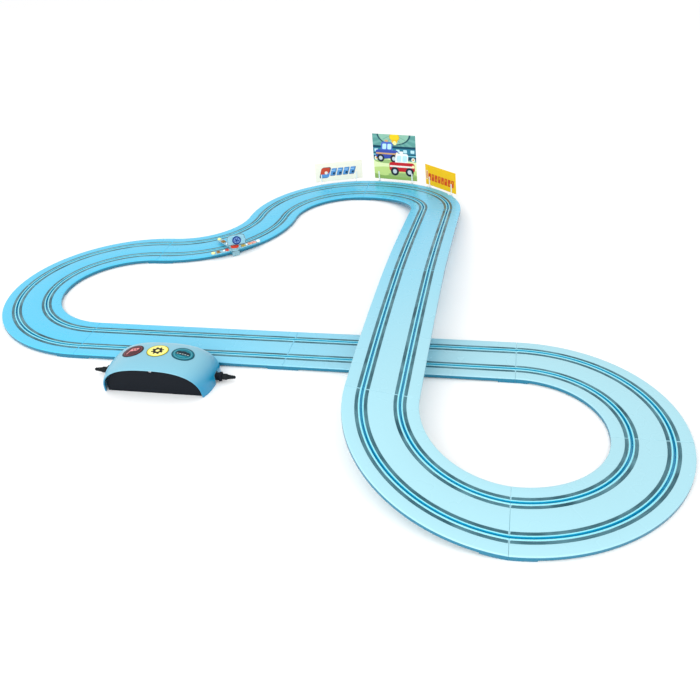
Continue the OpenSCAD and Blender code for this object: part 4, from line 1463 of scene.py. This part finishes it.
    def yellow_art(self, x: Array, y: Array) -> Array:
        """A yellow disc with an olive rim and a black toothed wheel.

        Args:
            x: Points across, from the picture's middle.
            y: Points in height.

        Returns:
            Colour at each point.
        """
        art = Canvas(x, y, ink("7F7B2A"))
        art.disc(0, 0, 14.9, ink("F2E65A"))
        art.disc(0, 0, 13.4, ink("FBF08A"))
        black = ink("15130D")
        art.spokes(0, 0, 9.6, 8, 3.4, black, 22.5)
        art.disc(0, 0, 7.2, black)
        art.disc(0, 0, 3.0, ink("FBF08A"))
        return art.colour

    def teal_art(self, x: Array, y: Array) -> Array:
        """A teal disc with a pale ring, dark hills and a road.

        Args:
            x: Points across, from the picture's middle.
            y: Points in height.

        Returns:
            Colour at each point.
        """
        art = Canvas(x, y, ink("0A4655"))
        art.disc(0, 0, 14.6, ink("0B6F80"))
        art.ring(0, 0, 12.4, 0.5, ink("6FB9C4"))
        navy = ink("0A2530")
        art.block(0, -0.6, 21, 5.6, navy, 0.0, 2.6)
        for dx, r in ((-5.6, 4.6), (0.4, 5.6), (6.0, 4.2)):
            art.disc(dx, 1.2, r, navy)
        for dx in (-7.5, -3.7, 0.1, 3.9, 7.7):
            art.block(dx, -1.0, 2.2, 0.9, ink("D8F0F0"), 0.6, 0.3)
        art.block(0, -7.6, 11, 1.2, ink("2FA0AE"), 0.0, 0.5)
        return art.colour

    def build_cells(self) -> None:
        """Lays the four cells: a printed jacket, bare metal ends and a raised cap."""
        skin = Skin()
        copper, dark = ink("B8763A"), ink("22211F")
        for y in self.cell_y:
            for side in (-1, 1):
                own = self.place.within((side * 25.0, y, self.cell_z), turned(side * 90, "Y"))
                skin.lathe([(0, -24.8), (11.4, -24.8), (11.8, -24.5)], own, 40, 1)
                skin.lathe([(11.4, -24.7), (12.6, -24.7), (13.1, -24.2), (13.1, 6)], own, 48, 0, dark)
                skin.lathe([(13.1, 6), (13.1, 21.8), (12.7, 22.4), (11.2, 22.6)], own, 48, 0, copper)
                skin.lathe([(11.2, 22.5), (8.6, 22.7), (3.6, 22.8), (3.2, 23.2), (3.2, 24.7), (2.9, 25),
                            (0, 25)],
                           own, 40, 1)
        skin.build("battery_cells_jacketed", [self.palette[Finish.PAINT], self.palette[Finish.STEEL]],
                   "track_set",
                   "cell_jacket", ["battery_cells"])

    def build_screw(self) -> None:
        """Turns the latch screw, with a raised head and its thread; its cross recess is two black bars,
        painted shade, not a cut.
        """
        low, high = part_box("latch_screw")
        centre = [(a + b) / 2 / MM for a, b in zip(low, high)]
        own = Placement((centre[0], low[1] / MM, centre[2]), turned(-90, "X"))
        skin = Skin()
        thread = [(1.15 + 0.22 * (k % 2), 1.6 + 0.3 * k) for k in range(25)]
        skin.lathe([(0, 0.35), (1.5, 0.25), (2.1, 0.1), (2.5, 0.3), (2.6, 0.7), (2.5, 1.2), (1.35, 1.25),
                    *thread,
                    (0.5, 9.7), (0, 9.9)], own, 40)
        # painted shade: black bars through the head stand in for the shadow in the cross recess
        for turn in (0, 90):
            bar = own.within((0, 0, 0), turned(turn, "Z"))
            skin.box((-1.5, -0.25, 0.02), (1.5, 0.25, 0.4), bar, 1, 0.05, 0.1)
        skin.build("latch_screw_turned", [self.palette[Finish.STEEL], self.palette[Finish.BLACK]], "hood",
                   "bright_steel", ["latch_screw"], sharp=50)

    def build_plug(self, side: int, name: str) -> None:
        """Moulds one plug, its ribbed tail and its pin.

        The body is a run of rounded squares that swell at the grip's ridges and
        flare into the collar. The tail and the pin are turned.

        Args:
            side: -1 for the left plug and 1 for the right one.
            name: The side's name.
        """
        own = self.place.within((side * self.plug[0], self.plug[1], self.plug[2]), turned(side * 90, "Y"))
        body = [(0.0, 3.9), (0.5, 4.6), (1.2, 4.75), (13.0, 4.75)]
        for k in range(4):
            body += [(13.6 + 1.3 * k, 4.45), (14.2 + 1.3 * k, 4.75)]
        body += [(18.6, 4.75), (19.5, 5.55), (20.2, 5.75), (23.0, 5.6), (23.7, 4.9), (24.0, 3.8)]
        square = rounded([(-1, -1, 0.35), (1, -1, 0.35), (1, 1, 0.35), (-1, 1, 0.35)], 6)
        rings = np.stack([np.concatenate([square * r, np.full((len(square), 1), z)], 1) for z, r in body])
        skin = Skin()
        skin.tube(own.put(rings))
        skin.build(f"plug_grip_{name}", [self.palette[Finish.BLACK]], f"plug_{name}", "black_plastic",
                   [f"plug_body_{name}"], sharp=45)
        tail = [(0.0, 23.6), (3.4, 23.6), (3.4, 24.6), (4.4, 25.0), (4.6, 25.6), (4.6, 30.6), (4.2, 31.4),
                (3.4, 31.8)]
        for k in range(4):
            r, z = 3.5 - 0.3 * k, 32.0 + 2.7 * k
            tail += [(r - 0.4, z), (r - 0.4, z + 0.7), (r, z + 1.1), (r - 0.05, z + 2.3)]
        tail += [(2.0, 43.0), (1.4, 44.0), (0.0, 44.0)]
        skin = Skin()
        skin.lathe(tail, own, 32)
        skin.build(f"plug_tail_{name}", [self.palette[Finish.RUBBER]], f"plug_{name}", "relief_rubber",
                   [f"plug_relief_{name}"], sharp=45)
        pin = [(0.0, 0.5), (1.7, 0.5), (1.7, -5.8), (1.45, -6.0), (1.45, -6.8), (1.7, -7.0), (1.7, -12.6),
               (1.3, -13.2), (1.3, -14.0), (1.6, -14.6), (1.4, -15.5), (0.8, -16.0), (0.0, -16.0)]
        skin = Skin()
        skin.lathe(pin, own, 32)
        skin.build(f"plug_contact_{name}", [self.palette[Finish.STEEL]], f"plug_{name}", "bright_steel",
                   [f"plug_pin_{name}"])


# ----------------------------------------------------------------- billboards
@dataclass(frozen=True)
class Board:
    """One billboard: its angle round the back curve, its size and its bottom edge."""

    name: str
    slot: str
    angle: float
    width: float
    height: float
    low: float = 12.0
    thick: float = 1.0
    reach: float = 223.4
    stake_gap: float = 81.0
    step: float = 0.6

    def track_height(self, x: float) -> float:
        """Height of the track's floor line under a point x along the board."""
        angle = self.angle - math.degrees(math.atan(x / self.reach))
        return float(BOARD_RUN.height(angle / 90)) if angle < 90 else 0.0

    def placement(self) -> Placement:
        """Axes with x along the card and y outwards, tilted to follow the track's edge.

        Returns:
            The card's own axes.
        """
        right, left = (self.track_height(side * self.stake_gap / 2) for side in (1, -1))
        tilt = math.degrees(math.atan((right - left) / self.stake_gap))
        return Placement((0.0, 342.0, (right + left) / 2), turned(self.angle - 90) @ turned(-tilt, "Y"))

    def art(self, x: Array, y: Array) -> Array:
        """Printed colours at points of the card, from its middle and its lower edge.

        Args:
            x: Points across, from the picture's middle.
            y: Points in height.

        Returns:
            Colour at each point.
        """
        if self.name == "left":
            return self.stripes_art(x, y, ink("FBF3DF"))
        if self.name == "right":
            return self.banner_art(x, y, ink("F8C406"))
        return self.scene_art(x, y)

    def stripes_art(self, x: Array, y: Array, ground: Colour) -> Array:
        """Slanted blue blocks that follow a red one, with pale streaks through them.

        Args:
            x: Points across, from the picture's middle.
            y: Points in height.
            ground: Colour of the card.

        Returns:
            Colour at each point.
        """
        art = Canvas(x, y, ground)
        navy, blue, pale, red = ink("1F3A5A"), ink("5A97D2"), ink("A9CDEE"), ink("CC4A30")
        art.block(-31, 20.5, 22, 25, navy, 0.3, 5)
        art.block(-31, 15, 19, 12, blue, 0.3, 3)
        art.block(-31, 24.5, 20, 15, red, 0.3, 4)
        art.disc(-29, 20, 3.6, ink("F4E9DA"))
        for k in range(4):
            middle = -12 + 14.5 * k
            art.block(middle, 20.5, 12.2, 17.5, navy, 0.3, 2)
            art.block(middle - 0.4, 21, 11.2, 16.2, blue, 0.3, 1.6)
            art.block(middle - 0.4, 24.6, 8.6, 1.8, pale, 0.3, 0.6)
            art.block(middle + 0.6, 17.2, 5.0, 5.2, navy, 0.3, 1)
        return art.colour

    def banner_art(self, x: Array, y: Array, ground: Colour) -> Array:
        """A row of slanted red blocks, each with a notch of the ground's colour.

        Args:
            x: Points across, from the picture's middle.
            y: Points in height.
            ground: Colour of the card.

        Returns:
            Colour at each point.
        """
        art = Canvas(x, y, ground)
        red, cream = ink("D9480F"), ink("FFF3D2")
        art.block(-50, 22, 6, 20, cream, 0.12, 2)
        art.block(-50, 22, 3.6, 17, red, 0.12, 1.2)
        for k in range(8):
            middle = -40 + 12 * k
            art.block(middle, 19, 9.6, 15.6, red, 0.12, 1.4)
            art.block(middle + 0.4, 16 + 6 * (k % 2), 2.0, 4.6, ground, 0.12, 0.8)
        return art.colour

    def scene_art(self, x: Array, y: Array) -> Array:
        """A domed hall with a lamp, a dark ring wall, a lawn and two toy cars.

        Args:
            x: Points across, from the picture's middle.
            y: Points in height.

        Returns:
            Colour at each point.
        """
        art = Canvas(x, y, ink("5E9A93"), 0.7)
        art.spokes(0, 100, 140, 22, 5.0, ink("6FA9A0"), 4)
        art.disc(0, 104, 41, ink("24505A"), 0.62)
        art.disc(0, 104, 37, ink("8FBFA8"), 0.62)
        art.spokes(0, 104, 30, 14, 1.2, ink("6D9F8E"))
        art.block(0, 62, 110, 30, ink("0E4257"), 0.0, 2)
        art.block(0, 66, 110, 12, ink("2F7C93"), 0.0, 1)
        art.block(0, 56, 110, 3, ink("78C2D0"), 0.0, 1)
        for k in range(6):
            art.block(-44 + 17.6 * k, 66, 9, 7, ink("BFE4EA"), 0.0, 1.5)
        for side in (-1, 1):
            art.disc(side * 45, 48, 4.4, ink("F3F6EE"))
            art.disc(side * 45, 48, 2.4, ink("E0A33C"))
        art.disc(2, 97, 12.5, ink("C99A12"), 0.75)
        art.disc(2, 97, 11, ink("F5CE20"), 0.75)
        art.block(2, 88, 14, 7, ink("F0B912"), 0.0, 2)
        art.disc(2, 84, 4.5, ink("FFF0A0"))
        art.lay(y - 46 - 3 * np.cos(x / 16), ink("E9F2B4"))
        art.lay(y - 26 - 3 * np.cos(x / 20 + 1), ink("C7DC84"))
        art.lay(y - 10 - 2 * np.cos(x / 9), ink("93B35E"))
        art.toy_car(-18, 40, 56, ink("3D4FA8"), ink("4F6CC4"), ink("D6A46A"))
        art.toy_car(17, 10, 62, ink("C8232C"), ink("F4F4F2"), ink("F6F0E6"))
        return art.colour

    def build(self, palette: Palette) -> None:
        """Prints the card and moulds its clips.

        The card is a stack of closed loops: along its face, round its end and
        back behind it, so that the face has fine points for its inks and the
        back has few.

        Args:
            palette: The set's finishes.
        """
        w, t, own = self.width / 2, self.thick / 2, self.placement()
        face = np.linspace(-w + 0.25, w - 0.25, int(self.width / self.step))
        rest = np.linspace(w - 0.25, -w + 0.25, 9)
        x = np.concatenate([face, [w, w], rest, [-w, -w]])
        y = np.concatenate([np.full(len(face), -t), [-t + 0.25, t - 0.25], np.full(9, t),
                            [t - 0.25, -t + 0.25]])
        z = np.concatenate([[0.0], np.linspace(0.25, self.height - 0.25, int(self.height / self.step)),
                            [self.height]])
        thin = np.ones(len(z))
        thin[[0, -1]] = 0.5
        points = np.stack(np.broadcast_arrays(x[None], self.reach + y[None] * thin[:, None],
                                              self.low + z[:, None]), -1)
        xs, zs = np.broadcast_arrays(x[None], z[:, None])
        paint = self.art(xs, zs)
        paint[:, len(face) + 1:-1] = ink("E9E6DC")
        skin = Skin()
        skin.tube(own.put(points), paint=paint)
        skin.build(f"card_print_{self.name}", [palette[Finish.CARD]], f"card_{self.name}", self.slot,
                   [f"board_card_{self.name}"], sharp=50)
        bevelled_copy(f"board_clips_{self.name}", f"card_clips_{self.name}", palette[Finish.STAKE],
                      "track_set",
                      0.25)


BOARDS = [
    Board("left", "card_cream", 108.5, 108.0, 43.0),
    Board("middle", "card_scene", 74.4, 104.0, 103.0),
    Board("right", "card_yellow", 41.0, 112.0, 45.0, 10.0),
]


# -------------------------------------------------------------------- spinner
@dataclass
class Spinner:
    """The spinner beside the S curve: three arms with raised shapes, a cap and an arched fin.

    Each arm is a pair: its direction in degrees and its reach in millimetres.
    """

    palette: Palette
    arms: tuple[tuple[float, float], ...] = ((138.8, 64.0), (215.6, 48.0), (45.4, 55.68))
    arm_h: float = 13.0
    arm_w: float = 9.0
    arm_t: float = 1.6
    hub_low: float = 11.1
    hub_top: float = 17.3
    hub_r: float = 8.0
    bore: float = 1.6
    fin_turn: float = 27.6
    fin_off: float = 4.5
    fin_w: float = 36.0
    fin_h: float = 21.7
    fin_t: float = 1.2

    def __post_init__(self) -> None:
        """Finds the spinner's axis from its axle."""
        low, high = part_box("spinner_axle")
        self.place = Placement(((low[0] + high[0]) / 2 / MM, (low[1] + high[1]) / 2 / MM, 0.0))

    def arm(self, k: int) -> Placement:
        """Axes of arm k, with x along it."""
        return self.place.within((0, 0, 0), turned(self.arms[k][0]))

    def fin_face(self, across: float, out: float, up: float) -> Placement:
        """Axes of the fin's face, with x along it and y up, from its middle above the hub."""
        whole = self.place.within((0, 0, 0), turned(self.fin_turn))
        return whole.within((self.fin_off + across, out, self.arm_h + up), turned(90, "X"))

    def build(self) -> None:
        """Builds every piece of the spinner."""
        self.build_rotor()
        self.build_tokens()
        self.build_cap()
        self.build_fin()
        self.build_badge()
        bevelled_copy("spinner_clip", "edge_clip", self.palette[Finish.CLEAR], "track_set",
                      0.5)
        self.palette.dress("spinner_axle", Finish.STEEL)

    def build_rotor(self) -> None:
        """Moulds the hub, as a turned sleeve with a groove, and the three round-ended arms."""
        skin, w, h = Skin(), self.arm_w / 2, self.arm_h
        low, top, r = self.hub_low, self.hub_top, self.hub_r
        skin.lathe([(self.bore, low), (self.bore, top), (r - 0.5, top), (r, top - 0.5), (r, h + 2.6),
                    (r - 0.5, h + 2.2),
                    (r - 0.5, h + 1.6), (r, h + 1.2), (r, low + 0.5), (r - 0.5, low)], self.place, 48,
                   hollow=True)
        a = np.radians(np.linspace(-90, 90, 17))
        for k, (_, reach) in enumerate(self.arms):
            tip = np.stack([reach - w + w * np.cos(a), w * np.sin(a)], -1)
            outline = np.concatenate([[[3.0, -w]], tip, [[3.0, w]]])
            skin.slab(outline, h - self.arm_t / 2, h + self.arm_t / 2, self.arm(k), bevel=0.25)
        skin.build("spinner_arms", [self.palette[Finish.CLEAR]], "spinner", "spinner_clear",
                   ["spinner_rotor"])

    def build_tokens(self) -> None:
        """Adds the raised, painted shapes on the arms: blocks, a stud and a round end."""
        skin, top, w = Skin(), self.arm_h + self.arm_t / 2 + 0.02, self.arm_w / 2 - 0.8
        cream, brown, white, lime = ink("F8F4A0"), ink("9A6E22"), ink("FAFBFB"), ink("B9A53C")
        red, pink, orange = ink("D23A26"), ink("E8A79C"), ink("E59A7C")
        looks = [((brown,), cream, (0.62,)), ((red, brown), cream, (0.26, 0.62)),
                 ((lime, orange, pink), white, (0.26, 0.52, 0.68))]
        for k, (blocks, end, spots) in enumerate(looks):
            own, reach = self.arm(k), self.arms[k][1]
            for x, paint in zip(spots, blocks):
                x0, x1 = reach * x, reach * (x + 0.14)
                outline = rounded([(x0, -w, 1.2), (x1, -w, 1.2), (x1, w, 1.2), (x0, w, 1.2)], 4)
                skin.slab(outline, top, top + 1.8, own, bevel=0.4, paint=paint)
                knob = own.within(((x0 + x1) / 2, 0, 0))
                skin.lathe([(0, top + 1.6), (1.5, top + 1.6), (1.4, top + 1.8), (0, top + 1.8)], knob, 24,
                           paint=white)
            tip = own.within((reach - self.arm_w / 2, 0, 0))
            skin.lathe([(0, top), (3.6, top), (3.6, top + 1.5), (3.3, top + 2.0), (2.8, top + 2.2),
                        (0, top + 2.2)],
                       tip, 36, paint=end)
            stud = own.within((reach * 0.46, 0, 0))
            skin.lathe([(0, top), (2.0, top), (2.0, top + 1.4), (1.6, top + 1.8), (0, top + 1.8)], stud, 28,
                       paint=white)
        skin.build("arm_shapes", [self.palette[Finish.PAINT]], "spinner", "token_paint", ["spinner_tokens"])

    def build_cap(self) -> None:
        """Turns the domed cap, with a grooved rim and a blind bore for the axle."""
        low, r = self.arm_h + 4.4, 8.0
        skin = Skin()
        skin.lathe([(0, low + 1.8), (self.bore, low + 1.8), (self.bore, low), (r - 0.3, low), (r, low + 0.3),
                    (r, low + 1.2), (r - 0.3, low + 1.45), (r, low + 1.7), (r - 0.2, low + 2.3),
                    (r - 1.0, low + 2.9),
                    (r - 2.4, low + 3.25), (2.2, low + 3.4), (1.8, low + 3.1), (0, low + 3.1)], self.place,
                   56)
        skin.build("spinner_cap_domed", [self.palette[Finish.RED]], "spinner", "spinner_red",
                   ["spinner_cap"])

    def build_fin(self) -> None:
        """Moulds the arched clear fin and the dark line round its edge."""
        w, h, t = self.fin_w, self.fin_h, self.fin_t / 2
        own = self.fin_face(-w / 2, 0, 7.95)
        outline = rounded([(0, 0, 0.6), (w, 0, 0.6), (w, h, 11), (0, h, 11)], 12)
        skin = Skin()
        skin.slab(outline, -t, t, own, bevel=0.2)
        inset = rounded([(0.7, 0.7, 0.6), (w - 0.7, 0.7, 0.6), (w - 0.7, h - 0.7, 10.3),
                         (0.7, h - 0.7, 10.3)], 12)
        for side in (-1, 1):
            skin.wire(inset, 0.4, own.within((0, 0, side * (t - 0.3))), 1)
        skin.build("arched_fin", [self.palette[Finish.CLEAR], self.palette[Finish.RUBBER]], "spinner",
                   "spinner_clear",
                   ["spinner_fin"])

    def build_badge(self) -> None:
        """Prints the round badge, a wheel with spokes, on the fin."""
        r0, thick = 8.4, 0.8
        radius = np.concatenate([np.linspace(0, r0 - 0.2, 30), [r0, r0, 0.0]])
        height = np.concatenate([np.full(30, thick), [thick - 0.2, 0.0, 0.0]])
        a = np.linspace(0, 2 * np.pi, 96, endpoint=False)
        x, y = radius[:, None] * np.cos(a), radius[:, None] * np.sin(a)
        navy, pale = ink("16367C"), ink("7FA6DA")
        art = Canvas(x, y, navy, 0.3)
        art.ring(0, 0, 5.2, 0.9, pale)
        art.spokes(0, 0, 5.2, 5, 1.0, pale, 90)
        art.disc(0, 0, 1.9, navy)
        own = self.fin_face(0.7, -self.fin_t / 2 - 0.02, 17.3)
        points = np.stack(np.broadcast_arrays(x, y, height[:, None]), -1)
        skin = Skin()
        skin.grid(own.put(points), round_cols=True, paint=art.colour)
        skin.build("wheel_badge", [self.palette[Finish.FILM]], "spinner", "badge_blue", ["spinner_badge"],
                   sharp=60)


# ------------------------------------------------------------ room and camera
@dataclass(frozen=True)
class Studio:
    """Pale floor, soft lights and the viewpoint."""

    eye: tuple[float, float, float] = (0.3327, -1.2063, 0.6627)
    yaw: float = -12.994
    pitch: float = 31.569
    roll: float = 3.955
    lens: float = 42.11

    def camera(self) -> None:
        """Places the camera: forward from yaw and pitch, then rolled about that line."""
        y, p, r = (math.radians(v) for v in (self.yaw, self.pitch, self.roll))
        forward = Vector((math.sin(y) * math.cos(p), math.cos(y) * math.cos(p), -math.sin(p)))
        right = Vector((math.cos(y), -math.sin(y), 0))
        down = forward.cross(right)
        across = right * math.cos(r) + down * math.sin(r)
        below = -right * math.sin(r) + down * math.cos(r)
        turn = Matrix((across, -below, -forward)).transposed()
        data = bpy.data.cameras.new("camera")
        data.lens, data.sensor_width = self.lens, 36.0
        data.clip_start, data.clip_end = 0.05, 20.0
        camera = bpy.data.objects.new("camera", data)
        camera.matrix_world = Matrix.Translation(self.eye) @ turn.to_4x4()
        bpy.context.scene.collection.objects.link(camera)
        bpy.context.scene.camera = camera

    def light(self, name: str, place: Sequence[float], aim: Sequence[float], size: float, power: float,
              colour: Colour = (1.0, 1.0, 1.0)) -> None:
        """Adds one square area light that looks at a point.

        Args:
            name: Name of the light.
            place: Where it stands, in metres.
            aim: The point it looks at.
            size: Length of its side.
            power: Its power in watts.
            colour: Its colour.
        """
        data = bpy.data.lights.new(name, "AREA")
        data.size, data.energy, data.color = size, power, colour
        lamp = bpy.data.objects.new(name, data)
        lamp.location = place
        lamp.rotation_mode = "QUATERNION"
        lamp.rotation_quaternion = (Vector(aim) - Vector(place)).to_track_quat("-Z", "Y")
        bpy.context.scene.collection.objects.link(lamp)

    def room(self) -> None:
        """Adds the floor, the lights and the pale surroundings."""
        world = bpy.data.worlds.new("surroundings")
        world.use_nodes = True
        socket_value(world.node_tree.nodes["Background"], Color=(1.0, 1.0, 1.0), Strength=1.04)
        bpy.context.scene.world = world
        bpy.context.scene.view_settings.view_transform = "Standard"
        self.light("key", (0.9, -1.6, 2.0), (0.2, -0.2, 0.0), 1.6, 9.0)
        self.light("front", (-0.1, -2.0, 0.8), (0.1, 0.5, 0.05), 1.2, 17.0)
        self.light("fill", (-1.6, -0.6, 1.8), (-0.2, 0.0, 0.0), 1.4, 6.0)
        floor = Skin()
        line = np.linspace(-6, 6, 3)
        x, y = np.meshgrid(line, line, indexing="ij")
        mesh = bpy.data.meshes.new("floor")
        floor.grid(np.stack([x, y, np.full_like(x, -0.0002)], -1))
        mesh.from_pydata(np.concatenate(floor.points).tolist(), [], floor.faces)
        shader = Shader("floor_paper")
        shader.set(Base_Color=(0.95, 0.95, 0.95), Roughness=0.8, Specular_IOR_Level=0.1)
        mesh.materials.append(shader.material)
        plane = bpy.data.objects.new("floor", mesh)
        bpy.context.scene.collection.objects.link(plane)


def main() -> None:
    """Builds the studio and every sub-assembly in order."""
    logging.basicConfig(level=logging.INFO, format="%(name)s: %(message)s")
    studio = Studio()
    studio.camera()
    studio.room()
    palette = Palette()
    for run in LAYOUT:
        neck = (138.3, 200.3) if run.name == "straight_power" else None
        piece = TrackPiece(run, palette, neck=neck)
        piece.build_body()
        piece.build_strips()
    for name in ("climb", "bridge", "descent"):
        bevelled_copy(f"pillar_{name}", f"post_{name}", palette[Finish.SKY], "track_set", 0.5)
    PowerBox(palette).build()
    for board in BOARDS:
        board.build(palette)
    Spinner(palette).build()


if __name__ == "__main__":
    main()
